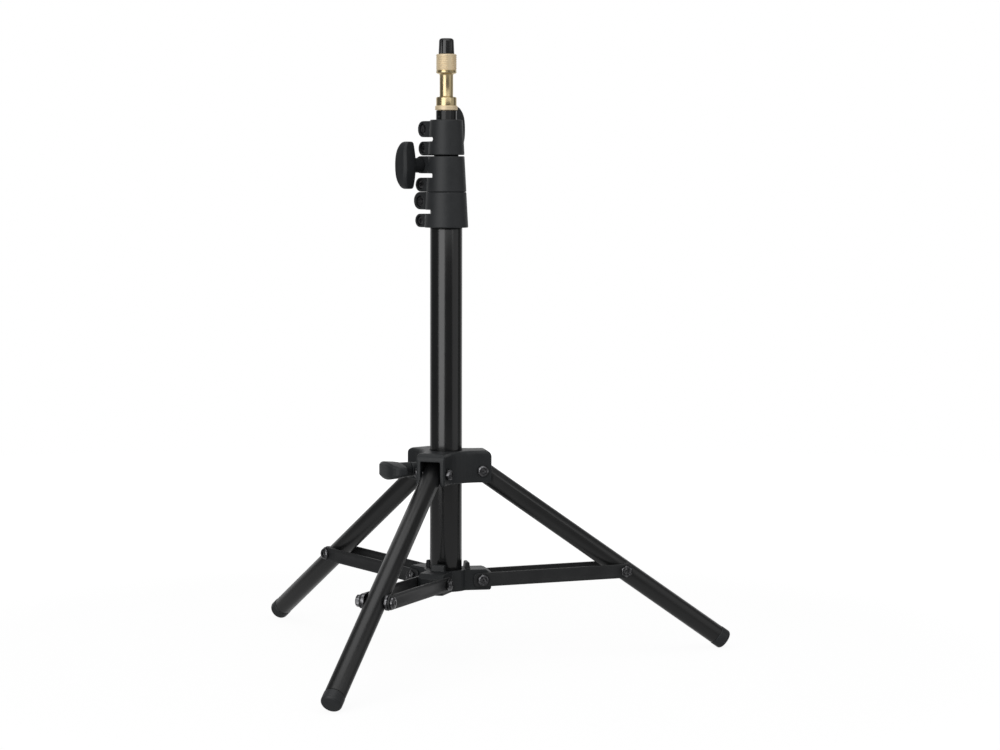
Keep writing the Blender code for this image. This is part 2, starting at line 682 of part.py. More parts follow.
def upper_spider():
    low = LEG_PIVOT_HEIGHT - YOKE_BELOW_PIVOT
    high = LEG_PIVOT_HEIGHT + YOKE_ABOVE_PIVOT
    past = LEG_PIVOT_RADIUS * 2
    spider = rounded_prism("upper_spider", yoke_outline, low, high, YOKE_FOOT_ROUNDING, YOKE_TOP_ROUNDING,
                           cast_black)
    cut(spider, boss_cylinder("boss", BOSS_RADIUS, column_radius, BOSS_REACH), operation="UNION")
    bore = turned("column_bore_cutter", cylinder_outline(column_radius + TOUCH_GAP, 0, high * 2), TUBE_SIDES)
    cutters = [bore, boss_cylinder("brake_hole_cutter", BRAKE_SCREW_RADIUS + RUNNING_GAP, 0, BOSS_REACH * 2)]
    slot_from = column_radius + TOUCH_GAP + HUB_WALL
    for index, azimuth in enumerate((0, 120, 240)):
        slot = extruded(f"yoke_slot_cutter_{index + 1}",
                        box_outline(slot_from, past, -yoke_slot_half, yoke_slot_half), 0, high - YOKE_WEB)
        hole = cross_cylinder(f"yoke_hole_cutter_{index + 1}", PIVOT_BOLT_RADIUS + RUNNING_GAP,
                              LEG_PIVOT_RADIUS, LEG_PIVOT_HEIGHT, -past / 3, past / 3)
        for cutter in (slot, hole):
            cutter.data.transform(Matrix.Rotation(math.radians(azimuth), 4, "Z"))
            cutters.append(cutter)
    cut(spider, *cutters)


def boss_cylinder(name, radius, start, end):
    """A cylinder that points out along the brake's boss, from one radius to another."""
    made = turned(name, cylinder_outline(radius, start, end), 16)
    aim = direction(BOSS_AZIMUTH).to_track_quat("Z", "Y").to_matrix().to_4x4()
    made.data.transform(Matrix.Translation((0, 0, boss_height())) @ aim)
    return made


def boss_height():
    return LEG_PIVOT_HEIGHT + BOSS_ABOVE_PIVOT


def brake():
    """The pad that grips the column and the T-knob that presses it, between legs 2 and 3."""
    place = Vector((0, 0, boss_height()))
    outwards = direction(BOSS_AZIMUTH)
    frame = axes_empty("brake_pad_axis", place, outwards)
    pad_from = column_radius + TOUCH_GAP
    pad_to = pad_from + BRAKE_PAD_LENGTH
    turned("brake_pad", cylinder_outline(BRAKE_SCREW_RADIUS, pad_from, pad_to), 12, nylon, frame)
    t_knob("spider_knob", place, outwards, direction(BOSS_AZIMUTH - 90), BOSS_REACH + TOUCH_GAP,
           pad_to + TOUCH_GAP, BRAKE_SCREW_RADIUS)


def lug_outline():
    """A ring about the column with three straight lugs."""
    half = lug_half_width
    ring = column_radius + TOUCH_GAP + RING_WALL
    reach = STRUT_PIVOT_RADIUS + LUG_NOSE * 2
    root = math.degrees(math.asin(half / ring))
    points = []
    for azimuth in (0, 120, 240):
        turn = Matrix.Rotation(math.radians(azimuth), 2)
        local = [(reach, -half), (reach, half)] + arc((0, 0), ring, root, 120 - root, 5)
        points += [tuple(turn @ Vector(point)) for point in local]
    return points


def lower_spider():
    low = STRUT_PIVOT_HEIGHT - LUG_BELOW_PIVOT
    high = STRUT_PIVOT_HEIGHT + LUG_ABOVE_PIVOT
    spider = extruded("lower_spider", lug_outline(), low - RING_WALL, high + RING_WALL, cast_black)
    nose = STRUT_PIVOT_RADIUS + LUG_NOSE
    envelope = [(0, low), (nose - LUG_FOOT_CHAMFER, low), (nose, low + LUG_FOOT_CHAMFER),
                (nose, high - LUG_CHAMFER_DROP), (nose - LUG_CHAMFER, high), (0, high)]
    cut(spider, turned("lower_spider_envelope", envelope, 30), operation="INTERSECT")
    tab_in = column_radius + TAB_INNER_GAP
    tab_out = tab_in + TAB_THICKNESS
    slant = TAB_THICKNESS / 8
    side = [(tab_in, high - TAB_THICKNESS / 2), (tab_out, high - TAB_THICKNESS / 2), (tab_out, high),
            (tab_out - slant, high + TAB_RISE - slant), (tab_out - 3 * slant, high + TAB_RISE),
            (tab_in + 3 * slant, high + TAB_RISE), (tab_in + slant, high + TAB_RISE - slant), (tab_in, high)]
    tabs = []
    bore = turned("ring_bore_cutter", cylinder_outline(column_radius + TOUCH_GAP, -high, high * 3),
                  TUBE_SIDES)
    cutters = [bore, foot_screw_hole("ring_screw_hole")]
    for index, azimuth in enumerate((0, 120, 240)):
        tabs.append(extruded(f"tab_{index + 1}", side, -TAB_WIDTH / 2, TAB_WIDTH / 2, axis="Y"))
        cutters.append(cross_cylinder(f"lug_hole_cutter_{index + 1}", PIVOT_BOLT_RADIUS + RUNNING_GAP,
                                      STRUT_PIVOT_RADIUS, STRUT_PIVOT_HEIGHT, -STRAP_SPACING, STRAP_SPACING))
        for made in (tabs[-1], cutters[-1]):
            made.data.transform(Matrix.Rotation(math.radians(azimuth), 4, "Z"))
    cut(spider, *tabs, operation="UNION")
    cut(spider, *cutters)


def pivot_bolt(name, frame, seat):
    """A through bolt along a pivot's Y, with its head on the -Y side and its nut on the other."""
    head_seat = seat + TOUCH_GAP
    nut_end = -head_seat - PIVOT_NUT_LENGTH
    head = (head_seat, PIVOT_HEAD_RADIUS, head_seat + PIVOT_HEAD_LENGTH)
    bolt = nutted_bolt(name, PIVOT_BOLT_RADIUS, head, (PIVOT_NUT_ACROSS, nut_end, -head_seat),
                       nut_end - PIVOT_BOLT_SHOWS, frame)
    for piece in (bolt, *bolt.children):
        piece.data.transform(Matrix.Rotation(math.radians(90), 4, "X"))


def linkage_axes(name, pivot, along, azimuth):
    """An empty on a linkage pivot, with X along the piece and Y along the pivot."""
    turn = Matrix.Rotation(math.radians(azimuth), 3, "Z")
    x_axis = turn @ along
    return axes_empty(name, turn @ pivot, x_axis.cross(turn @ Vector((0, 1, 0))), x_axis)


def leg(number, azimuth):
    """A leg tube with its top plug and foot, in axes with X down along the leg."""
    frame = linkage_axes(f"leg_{number}_pivot", leg_pivot, leg_direction, azimuth)
    tube_end = LEG_LENGTH - FOOT_LENGTH - TOUCH_GAP
    tube = turned(f"leg_{number}_tube", tube_profile(leg_radius, LEG_WALL, -LEG_PAST_PIVOT, tube_end),
                  LEG_SIDES, black_tube, frame)
    tube.data.transform(Matrix.Rotation(math.radians(90), 4, "Y"))
    hole = PIVOT_BOLT_RADIUS + RUNNING_GAP
    cut(tube, cross_cylinder(f"leg_{number}_hole_cutter", hole, 0, 0, -LEG_DIAMETER, LEG_DIAMETER))
    spigot = leg_radius - LEG_WALL - TOUCH_GAP
    head_from = LEG_PAST_PIVOT + TOUCH_GAP
    head_top = -head_from - TOP_PLUG_HEAD
    rim = leg_radius - TOUCH_GAP
    spigot_end = TOP_PLUG_SPIGOT - head_from
    plug_profile = [(0, head_top), (rim - TOP_PLUG_EDGE, head_top), (rim, head_top + TOP_PLUG_EDGE / 2),
                    (rim, -head_from), (spigot, -head_from), (spigot, spigot_end), (0, spigot_end)]
    plug = turned(f"leg_{number}_top_plug", plug_profile, LEG_SIDES, black_plastic, frame)
    plug.data.transform(Matrix.Rotation(math.radians(90), 4, "Y"))
    cut(plug, cross_cylinder(f"plug_{number}_hole_cutter", hole, 0, 0, -LEG_DIAMETER, LEG_DIAMETER))
    foot_from = LEG_LENGTH - FOOT_LENGTH
    rounding = arc((FOOT_RADIUS - FOOT_ROUNDING, LEG_LENGTH - FOOT_ROUNDING), FOOT_ROUNDING, 0, 90, 4)
    foot_profile = [(0, foot_from - FOOT_SPIGOT), (spigot, foot_from - FOOT_SPIGOT), (spigot, foot_from),
                    (FOOT_RADIUS, foot_from)] + rounding + [(0, LEG_LENGTH)]
    foot = turned(f"leg_{number}_foot", foot_profile, LEG_SIDES, black_plastic, frame)
    foot.data.transform(Matrix.Rotation(math.radians(90), 4, "Y"))
    pivot_bolt(f"leg_{number}_pivot_bolt", frame, yoke_half_width)


def strap_outline():
    """A strut's flat bar seen from its side, from its spider pivot at 0 to its leg joint."""
    half = STRAP_HEIGHT / 2
    inner = STRAP_INNER_ROUNDING
    back = -STRAP_PAST_INNER_PIVOT
    return (arc((strut_length, 0), half, -90, 90, 6)
            + arc((back + inner, half - inner), inner, 90, 180, 3)
            + arc((back + inner, inner - half), inner, 180, 270, 3))


def strut(number, azimuth):
    """A strut of two flat bars, with its spider pivot's bolt and its leg joint's bolt, nut and washers.

    The joint's bolt stops short of the leg on both sides, because the linkage is open there.
    """
    frame = linkage_axes(f"strut_{number}_pivot", strut_pivot, strut_direction, azimuth)
    inside = STRAP_SPACING / 2
    pivot_bolt(f"strut_{number}_pivot_bolt", frame, strap_outside)
    for side, low, high in (("left", inside, strap_outside), ("right", -strap_outside, -inside)):
        strap = extruded(f"strut_{number}_{side}_bar", strap_outline(), low, high, cast_black, frame, "Y")
        cut(strap, *(cross_cylinder(f"strut_{number}_{side}_{where}_hole", PIVOT_BOLT_RADIUS + RUNNING_GAP,
                                    place, 0, -STRAP_SPACING, STRAP_SPACING)
                     for place, where in ((0, "inner"), (strut_length, "outer"))))
    skin = leg_radius + TOUCH_GAP
    washer = inside - TOUCH_GAP
    seat = strap_outside + TOUCH_GAP
    head_top = seat + PIVOT_HEAD_LENGTH
    edge = PIVOT_HEAD_LENGTH * HEAD_BEVEL_SHARE
    neck = [(0, skin), (WASHER_RADIUS, skin), (WASHER_RADIUS, washer), (PIVOT_BOLT_RADIUS, washer),
            (PIVOT_BOLT_RADIUS, seat)]
    head = [(PIVOT_HEAD_RADIUS, seat), (PIVOT_HEAD_RADIUS, head_top - edge),
            (PIVOT_HEAD_RADIUS - edge, head_top), (0, head_top)]
    bolt = turned(f"strut_{number}_joint_bolt", neck + head, 12, dark_steel, frame)
    lay_along_y(bolt, strut_length, 0)
    end = seat + PIVOT_NUT_LENGTH
    tail = [(PIVOT_BOLT_RADIUS, end + PIVOT_BOLT_SHOWS), (0, end + PIVOT_BOLT_SHOWS)]
    nut = turned(f"strut_{number}_joint_nut", neck + tail, 12, dark_steel, frame)
    hexagon = turned(f"strut_{number}_nut_hexagon",
                     cylinder_outline(polygon_radius(PIVOT_NUT_ACROSS), seat, end), 6)
    cut(nut, hexagon, operation="UNION")
    for piece in (nut, *nut.children):
        lay_along_y(piece, strut_length, 0)
        piece.data.transform(Matrix.Rotation(math.radians(180), 4, "X"))


column_tube()
column_plug()
foot_screw()
lower_spider()
for riser in range(3):
    riser_guide(riser)
    riser_tube(riser)
clamp("base", 0, BASE_CLAMP_AZIMUTH, -1)
clamp("middle", 1, MIDDLE_CLAMP_AZIMUTH, 1)
clamp("top", 2, TOP_CLAMP_AZIMUTH, -1)
stud()
turned_pin("stud_pin", STUD_PIN_RADIUS, riser_radii[2], dark_steel)
thread_cap()
upper_spider()
brake()
for leg_number in range(1, 4):
    leg(leg_number, 120 * (leg_number - 1))
    strut(leg_number, 120 * (leg_number - 1))
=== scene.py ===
# A low light stand: black tubes and castings, moulded clamps and knobs, and a brass stud.
import json
import math

import bpy
from mathutils import Matrix, Vector


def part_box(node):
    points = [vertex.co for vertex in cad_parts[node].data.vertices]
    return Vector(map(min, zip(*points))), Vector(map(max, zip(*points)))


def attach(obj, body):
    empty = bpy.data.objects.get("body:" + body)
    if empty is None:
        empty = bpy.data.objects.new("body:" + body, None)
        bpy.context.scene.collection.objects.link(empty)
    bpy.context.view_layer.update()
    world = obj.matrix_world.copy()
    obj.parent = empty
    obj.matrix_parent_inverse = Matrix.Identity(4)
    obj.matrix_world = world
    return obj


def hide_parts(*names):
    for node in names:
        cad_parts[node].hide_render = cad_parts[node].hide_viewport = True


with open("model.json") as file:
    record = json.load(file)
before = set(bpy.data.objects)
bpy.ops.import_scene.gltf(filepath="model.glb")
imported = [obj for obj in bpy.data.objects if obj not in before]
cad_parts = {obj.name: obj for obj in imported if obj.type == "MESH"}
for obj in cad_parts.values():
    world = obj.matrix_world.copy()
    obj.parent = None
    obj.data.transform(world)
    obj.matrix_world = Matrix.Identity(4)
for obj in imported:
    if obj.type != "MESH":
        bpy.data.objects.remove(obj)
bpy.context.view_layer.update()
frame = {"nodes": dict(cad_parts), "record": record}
bodies = frame["record"]["behaviour"]["bodies"]
bodyOf = {node: body for body, nodes in bodies.items() for node in nodes}
up = Vector((0, 0, 1))
touchGap = 0.0003
print("frame loaded:", len(bodyOf), "nodes")


# Working in edit mode


def clearSelection():
    if bpy.context.mode != "OBJECT":
        bpy.ops.object.mode_set(mode="OBJECT")
    bpy.ops.object.select_all(action="DESELECT")


def makeActive(piece):
    clearSelection()
    piece.select_set(True)
    bpy.context.view_layer.objects.active = piece


def startEdit(piece, kind="VERT", action="SELECT"):
    makeActive(piece)
    bpy.ops.object.mode_set(mode="EDIT")
    bpy.ops.mesh.select_mode(type=kind)
    bpy.ops.mesh.select_all(action=action)


def endEdit():
    bpy.ops.object.mode_set(mode="OBJECT")


def pickEdges(piece, wanted):
    # leaves the piece in edit mode with the edges whose two ends pass the test
    startEdit(piece, "EDGE", "DESELECT")
    endEdit()
    corners = piece.data.vertices
    for edge in piece.data.edges:
        first, second = (corners[index].co for index in edge.vertices)
        edge.select = wanted(first, second)
    bpy.ops.object.mode_set(mode="EDIT")


def pickFaces(piece, wanted):
    startEdit(piece, "FACE", "DESELECT")
    endEdit()
    for face in piece.data.polygons:
        face.select = wanted(face.center)
    bpy.ops.object.mode_set(mode="EDIT")


def setPlace(piece, matrix):
    makeActive(piece)
    piece.matrix_world = matrix
    bpy.ops.object.transform_apply(location=True, rotation=True, scale=True)
    return piece


def applyModifier(piece, kind, **settings):
    modifier = piece.modifiers.new(kind.lower(), kind)
    for key, value in settings.items():
        setattr(modifier, key, value)
    makeActive(piece)
    bpy.ops.object.modifier_apply(modifier=modifier.name)


def turnProfile(name, profile, sides=64, hollow=False):
    # rings drawn up the axis one after the other; points on the axis are left out, because a face
    # closes each end unless the piece is hollow
    points = [point for point in profile if point[0] > 0]
    radius, height = points[0]
    clearSelection()
    bpy.ops.mesh.primitive_circle_add(vertices=sides, radius=radius, location=(0, 0, height))
    piece = bpy.context.object
    piece.name = name
    bpy.ops.object.transform_apply(location=True)
    startEdit(piece)
    for nextRadius, nextHeight in points[1:]:
        bpy.ops.mesh.extrude_region_move(TRANSFORM_OT_translate={"value": (0, 0, nextHeight - height)})
        share = nextRadius / radius
        bpy.ops.transform.resize(value=(share, share, 1), center_override=(0, 0, nextHeight))
        radius, height = nextRadius, nextHeight
    if hollow:
        bpy.ops.mesh.select_all(action="DESELECT")
        bpy.ops.mesh.select_non_manifold()
        bpy.ops.mesh.bridge_edge_loops()
    else:
        bpy.ops.mesh.edge_face_add()
        bpy.ops.mesh.select_all(action="DESELECT")
        bpy.ops.mesh.select_non_manifold()
        bpy.ops.mesh.edge_face_add()
    bpy.ops.mesh.select_all(action="SELECT")
    bpy.ops.mesh.normals_make_consistent(inside=False)
    endEdit()
    return piece


def drawOutline(name, outline, low, high):
    # one vertex is walked round the outline, filled and pulled up
    clearSelection()
    bpy.ops.mesh.primitive_plane_add(size=0.001)
    piece = bpy.context.object
    piece.name = name
    startEdit(piece)
    bpy.ops.mesh.merge(type="CENTER")
    bpy.ops.transform.translate(value=(outline[0][0], outline[0][1], low))
    for (x, y), (nextX, nextY) in zip(outline, outline[1:]):
        bpy.ops.mesh.extrude_region_move(TRANSFORM_OT_translate={"value": (nextX - x, nextY - y, 0)})
    bpy.ops.mesh.select_all(action="SELECT")
    bpy.ops.mesh.edge_face_add()
    bpy.ops.mesh.extrude_region_move(TRANSFORM_OT_translate={"value": (0, 0, high - low)})
    bpy.ops.mesh.select_all(action="SELECT")
    bpy.ops.mesh.normals_make_consistent(inside=False)
    endEdit()
    return piece


def arc(centreX, centreY, radius, start, end, steps):
    angles = [math.radians(start + (end - start) * index / steps) for index in range(steps + 1)]
    return [(centreX + radius * math.cos(angle), centreY + radius * math.sin(angle)) for angle in angles]


def combine(piece, operation, *tools):
    for tool in tools:
        applyModifier(piece, "BOOLEAN", object=tool, operation=operation, solver="EXACT")
        bpy.data.objects.remove(tool)


def roundEdges(piece, width, segments=3, angle=35):
    applyModifier(piece, "BEVEL", width=width, segments=segments, limit_method="ANGLE",
                  angle_limit=math.radians(angle))


def mouldSkin(piece, grain, passes, keep):
    # an even skin whose edges and inside corners are rounded as in a mould
    applyModifier(piece, "REMESH", mode="VOXEL", voxel_size=grain)
    applyModifier(piece, "SMOOTH", factor=0.5, iterations=passes)
    applyModifier(piece, "DECIMATE", ratio=keep)


def softenWhere(piece, wanted, passes):
    group = piece.vertex_groups.new(name="soft")
    group.add([vertex.index for vertex in piece.data.vertices if wanted(vertex.co)], 1, "REPLACE")
    applyModifier(piece, "SMOOTH", factor=0.5, iterations=passes, vertex_group="soft")
    piece.vertex_groups.clear()


def copyNode(name, node):
    clearSelection()
    piece = bpy.data.objects.new(name, frame["nodes"][node].data.copy())
    bpy.context.scene.collection.objects.link(piece)
    startEdit(piece)
    bpy.ops.mesh.remove_doubles(threshold=0.000005)
    endEdit()
    return piece


def hexCorner(across):
    return across / 2 / math.cos(math.pi / 6)


def hexagon(name, across, low, high):
    return turnProfile(name, [(hexCorner(across), low), (hexCorner(across), high)], 6)


def drillThrough(piece, radius, reach, matrix):
    drill = turnProfile("drill", [(radius, -reach), (radius, reach)], 32)
    combine(piece, "DIFFERENCE", setPlace(drill, matrix))


def axesAt(place, along, across):
    zAxis = Vector(along).normalized()
    xAxis = (Vector(across) - zAxis * zAxis.dot(across)).normalized()
    turned = Matrix((xAxis, zAxis.cross(xAxis), zAxis)).transposed().to_4x4()
    return Matrix.Translation(place) @ turned


def direction(azimuth):
    return Vector((math.cos(math.radians(azimuth)), math.sin(math.radians(azimuth)), 0))


alongX = Matrix.Rotation(math.radians(90), 4, "Y")      # a turned piece laid along X
alongY = Matrix.Rotation(math.radians(-90), 4, "X")     # and along Y
standing = Matrix.Rotation(math.radians(90), 4, "X")    # an outline in X and Z, thick along -Y


def standingBlock(name, outline, half):
    block = drawOutline(name, outline, -half, half)
    return setPlace(block, standing)


# Finishes


class Link:
    # a socket that adds its own Math nodes when it stands in a sum
    def __init__(self, nodes, socket):
        self.nodes = nodes
        self.socket = socket

    def calc(self, operation, first, second):
        return self.nodes.node("ShaderNodeMath", {"operation": operation}, {0: first, 1: second})

    def __add__(self, other):
        return self.calc("ADD", self, other)

    def __radd__(self, other):
        return self.calc("ADD", other, self)

    def __sub__(self, other):
        return self.calc("SUBTRACT", self, other)

    def __rsub__(self, other):
        return self.calc("SUBTRACT", other, self)

    def __mul__(self, other):
        return self.calc("MULTIPLY", self, other)

    def __rmul__(self, other):
        return self.calc("MULTIPLY", other, self)


class NodeTree:
    # the nodes of a material or of the world
    def __init__(self, owner):
        owner.use_nodes = True
        self.tree = owner.node_tree

    def node(self, kind, settings=None, values=None, output=0):
        made = self.tree.nodes.new(kind)
        for key, value in (settings or {}).items():
            if key == "stops":
                while len(made.color_ramp.elements) < len(value):
                    made.color_ramp.elements.new(0.5)
                for element, (place, colour) in zip(made.color_ramp.elements, value):
                    element.position = place
                    element.color = (*colour, 1)
            else:
                setattr(made, key, value)
        for key, value in (values or {}).items():
            if isinstance(value, Link):
                self.tree.links.new(value.socket, made.inputs[key])
            else:
                made.inputs[key].default_value = value
        return Link(self, made.outputs[output])


class Finish(NodeTree):
    def __init__(self, name, **sockets):
        self.material = bpy.data.materials.new(name)
        super().__init__(self.material)
        self.shader = self.tree.nodes["Principled BSDF"]
        for key, value in sockets.items():
            self.shader.inputs[key.replace("_", " ")].default_value = value

    def feed(self, name, link):
        self.tree.links.new(link.socket, self.shader.inputs[name])

    def place(self, matrix=None):
        # the piece's own coordinates, turned to run along the piece
        spot = self.node("ShaderNodeTexCoord", output="Object")
        if matrix is None:
            return spot
        return self.node("ShaderNodeMapping", {"vector_type": "TEXTURE"},
                         {"Vector": spot, "Location": matrix.translation, "Rotation": matrix.to_euler()})

    def noise(self, vector, size, detail=2.0, roughness=0.5, stretch=None):
        if stretch:
            vector = self.node("ShaderNodeVectorMath", {"operation": "MULTIPLY"}, {0: vector, 1: stretch})
        return self.node("ShaderNodeTexNoise", {}, {"Vector": vector, "Scale": 1 / size,
                                                    "Detail": detail, "Roughness": roughness})

    def spread(self, link, low, high):
        # stretches the middle of a noise to 0..1
        return self.node("ShaderNodeMapRange", {"clamp": True},
                         {"Value": link, "From Min": low, "From Max": high})

    def clouds(self, spot, size, detail, roughness):
        return self.spread(self.noise(spot, size, detail, roughness), 0.35, 0.7)

    def colours(self, factor, *stops):
        return self.node("ShaderNodeValToRGB", {"stops": stops}, {"Fac": factor})

    def bump(self, height, depth):
        self.feed("Normal", self.node("ShaderNodeBump", {},
                                      {"Height": height, "Distance": depth, "Strength": 1.0}))


def tubeFinish(name, matrix, rough=0.16, shine=0.95):
    # satin black with faint lines drawn along the tube and a little handling haze
    finish = Finish(name, Specular_IOR_Level=shine)
    spot = finish.place(matrix)
    drawn = finish.noise(spot, 0.0011, 3, 0.6, (1, 1, 0.02))
    haze = finish.clouds(spot, 0.035, 3, 0.55)
    peel = finish.noise(spot, 0.0009, 2)
    finish.feed("Base Color", finish.colours(haze * 0.6 + drawn * 0.4,
                                             (0.2, (0.0040, 0.0042, 0.0046)),
                                             (0.8, (0.0064, 0.0067, 0.0072))))
    finish.feed("Roughness", rough + haze * 0.03 + drawn * 0.04)
    finish.bump(drawn * 0.6 + peel * 0.4, 0.000006)
    return finish.material


def plasticFinish(name, tone, shine):
    # matte black moulding with a fine spark-eroded grain
    finish = Finish(name, Specular_IOR_Level=shine)
    spot = finish.place()
    grain = finish.noise(spot, 0.00028, 2)
    cloud = finish.clouds(spot, 0.009, 4, 0.6)
    finish.feed("Base Color", finish.colours(cloud,
                                             (0.0, (tone, tone * 1.09, tone * 1.18)),
                                             (1.0, (tone * 1.26, tone * 1.36, tone * 1.46))))
    finish.feed("Roughness", 0.41 + cloud * 0.06 + grain * 0.08)
    finish.bump(grain, 0.00004)
    return finish.material


def castFinish(name):
    # stove enamel over a casting: soft peel with a few fine nibs
    finish = Finish(name, Specular_IOR_Level=0.42)
    spot = finish.place()
    peel = finish.noise(spot, 0.0013, 2)
    nibs = finish.spread(finish.noise(spot, 0.0006, 1), 0.66, 0.78)
    cloud = finish.clouds(spot, 0.014, 3, 0.6)
    finish.feed("Base Color", finish.colours(cloud,
                                             (0.0, (0.0210, 0.0230, 0.0248)),
                                             (1.0, (0.0265, 0.0288, 0.0308))))
    finish.feed("Roughness", 0.40 + cloud * 0.07 + nibs * 0.1)
    finish.bump(peel * 0.7 + nibs * 0.5, 0.00006)
    return finish.material


def barFinish(name, matrix):
    # flat bar, rolled lengthwise under thin enamel
    finish = Finish(name, Specular_IOR_Level=0.45)
    spot = finish.place(matrix)
    rolled = finish.noise(spot, 0.0010, 3, 0.6, (0.03, 1, 1))
    cloud = finish.clouds(spot, 0.012, 3, 0.6)
    finish.feed("Base Color", finish.colours(cloud * 0.6 + rolled * 0.4,
                                             (0.2, (0.0225, 0.0232, 0.0245)),
                                             (0.8, (0.0290, 0.0298, 0.0310))))
    finish.feed("Roughness", 0.36 + cloud * 0.06 + rolled * 0.05)
    finish.bump(rolled, 0.00002)
    return finish.material


def steelFinish(name):
    # blackened hardware, brighter where a tool has rubbed it
    finish = Finish(name, Metallic=1.0)
    spot = finish.place()
    rubbed = finish.spread(finish.noise(spot, 0.0022, 4, 0.65), 0.42, 0.68)
    finish.feed("Base Color", finish.colours(rubbed,
                                             (0.0, (0.10, 0.10, 0.105)),
                                             (1.0, (0.36, 0.36, 0.37))))
    finish.feed("Roughness", 0.28 - rubbed * 0.08)
    finish.bump(finish.noise(spot, 0.0007, 3), 0.00002)
    return finish.material


def brassFinish(name, flangeTo, headFrom):
    # turned brass with fine lathe rings, polished between the matt flange and the serrated head
    finish = Finish(name, Metallic=1.0)
    spot = finish.place()
    rings = finish.noise(spot, 0.00030, 2, 0.5, (0.002, 0.002, 1))
    tarnish = finish.spread(finish.noise(spot, 0.009, 3, 0.5), 0.35, 0.75)
    height = finish.node("ShaderNodeSeparateXYZ", {}, {0: spot}, 2)
    head = finish.spread(height, headFrom, headFrom + 0.0006)
    rough = head + finish.spread(height, flangeTo, flangeTo - 0.0003)
    polished = finish.colours(tarnish, (0.0, (0.85, 0.69, 0.40)), (1.0, (0.82, 0.66, 0.38)))
    matt = finish.colours(tarnish, (0.0, (0.97, 0.79, 0.52)), (1.0, (0.94, 0.76, 0.50)))
    colour = finish.node("ShaderNodeMix", {"data_type": "RGBA"}, {0: rough, 6: polished, 7: matt}, 2)
    finish.feed("Base Color", colour)
    finish.feed("Metallic", 1 - rough * 0.65)
    finish.feed("Roughness", 0.21 + tarnish * 0.03 + rings * 0.05 + rough * 0.22)
    finish.bump(rings, 0.000012)
    return finish.material


def nylonFinish(name):
    finish = Finish(name, Specular_IOR_Level=0.4)
    spot = finish.place()
    cloud = finish.clouds(spot, 0.004, 3, 0.5)
    finish.feed("Base Color", finish.colours(cloud,
                                             (0.0, (0.035, 0.035, 0.036)),
                                             (1.0, (0.050, 0.050, 0.051))))
    finish.feed("Roughness", 0.5 + cloud * 0.1)
    finish.bump(finish.noise(spot, 0.0004, 2), 0.00002)
    return finish.material


def dress(piece, node, material, angle=35):
    # gives a finished piece its material and its place on the frame
    piece.data.materials.clear()
    piece.data.materials.append(material)
    makeActive(piece)
    bpy.ops.object.shade_smooth_by_angle(angle=math.radians(angle))
    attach(piece, bodyOf[node])
    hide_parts(node)


plastic = plasticFinish("blackMoulding", 0.0215, 0.50)
# painted shade: the knobs are the same moulding as the clamps, in a darker copy that stands in for the
# shade on them
shadedKnobPlastic = plasticFinish("knobMouldingPaintedShade", 0.0200, 0.40)
enamel = castFinish("stoveEnamel")
steel = steelFinish("blackenedSteel")
turnedBrass = brassFinish("turnedBrass", 0.3779, 0.4048)
nylon = nylonFinish("darkNylon")
print("finishes made")


# Column and risers

column = {"radius": 0.0125, "wall": 0.001, "low": 0.0023, "high": 0.2994}
risers = [
    {"radius": 0.0110, "wall": 0.001, "low": 0.0223, "high": 0.32747},
    {"radius": 0.0095, "wall": 0.001, "low": 0.0391, "high": 0.35554},
    {"radius": 0.0080, "wall": 0.001, "low": 0.0559, "high": 0.3740},
]
tubeEdge = 0.0002


def drawnTube(name, node, shape, shine=0.5):
    foot, top, radius = shape["low"], shape["high"], shape["radius"]
    inside = radius - shape["wall"]
    tube = turnProfile(name, [(inside, foot), (radius, foot), (radius, top), (inside, top)], 96,
                       hollow=True)
    roundEdges(tube, tubeEdge, 2)
    dress(tube, node, tubeFinish(name + "Satin", Matrix.Identity(4), shine=shine))


drawnTube("columnSkin", "column_tube", column, 0.95)
for number, shape in enumerate(risers, 1):
    drawnTube(f"riser{number}Skin", f"riser_{number}_tube", shape)
print("column and risers drawn")


# Bolts and nuts, each made along Z and then laid in its hole

boltShape = {"shank": 0.0025, "head": 0.0045, "headLength": 0.0026, "socket": 0.0030,
             "socketDepth": 0.0014, "nut": 0.0080, "nutLength": 0.0030, "shows": 0.0006,
             "washer": 0.0060, "edge": 0.00012, "jointEdge": 0.00015}
nutShape = {"sunk": 0.0002, "collarFoot": 0.40, "collarTop": 0.385, "collarRise": 0.00035, "lead": 0.0002,
            "endFoot": 0.0005, "endGap": 0.0001, "endChamfer": 0.0003}


def domedHead(seat, radius, length):
    # the outline of a button head over its seat
    flat = radius * 0.52
    side = length * 0.38
    return [(radius, seat), (radius, seat + side * 0.8)] + [
        (flat + (radius - flat) * math.cos(angle), seat + side + (length - side) * math.sin(angle))
        for angle in (0.25, 0.55, 0.85, 1.15, 1.4)] + [(flat, seat + length)]


def cutSocket(bolt, across, top, depth):
    combine(bolt, "DIFFERENCE", hexagon("socket", across, top - depth, top + depth))


def hexNut(name, across, bore, low, high, shows):
    # a chamfered hexagon with a raised collar, and the bolt's end standing out of it
    shape = nutShape
    nut = hexagon(name, across, low, high)
    corner = hexCorner(across)
    chamfer = (corner - across / 2) * 0.9
    envelope = turnProfile("chamfer", [(0, low), (corner, low), (corner, high - chamfer * 0.8),
                                       (corner - chamfer * 1.5, high), (0, high)], 48)
    combine(nut, "INTERSECT", envelope)
    foot, rise = high - shape["sunk"], high + shape["collarRise"]
    collar = turnProfile("collar", [(bore, foot), (across * shape["collarFoot"], foot),
                                    (across * shape["collarTop"], rise), (bore + shape["lead"], rise)],
                         40, hollow=True)
    start, end = low + shape["endFoot"], high + shows
    radius, tip = bore - shape["endGap"], shape["endChamfer"]
    boltEnd = turnProfile("boltEnd", [(0, start), (radius, start), (radius, end - tip),
                                      (radius - tip, end), (0, end)], 32)
    combine(nut, "UNION", collar, boltEnd)
    roundEdges(nut, boltShape["edge"], 2, 40)
    return nut


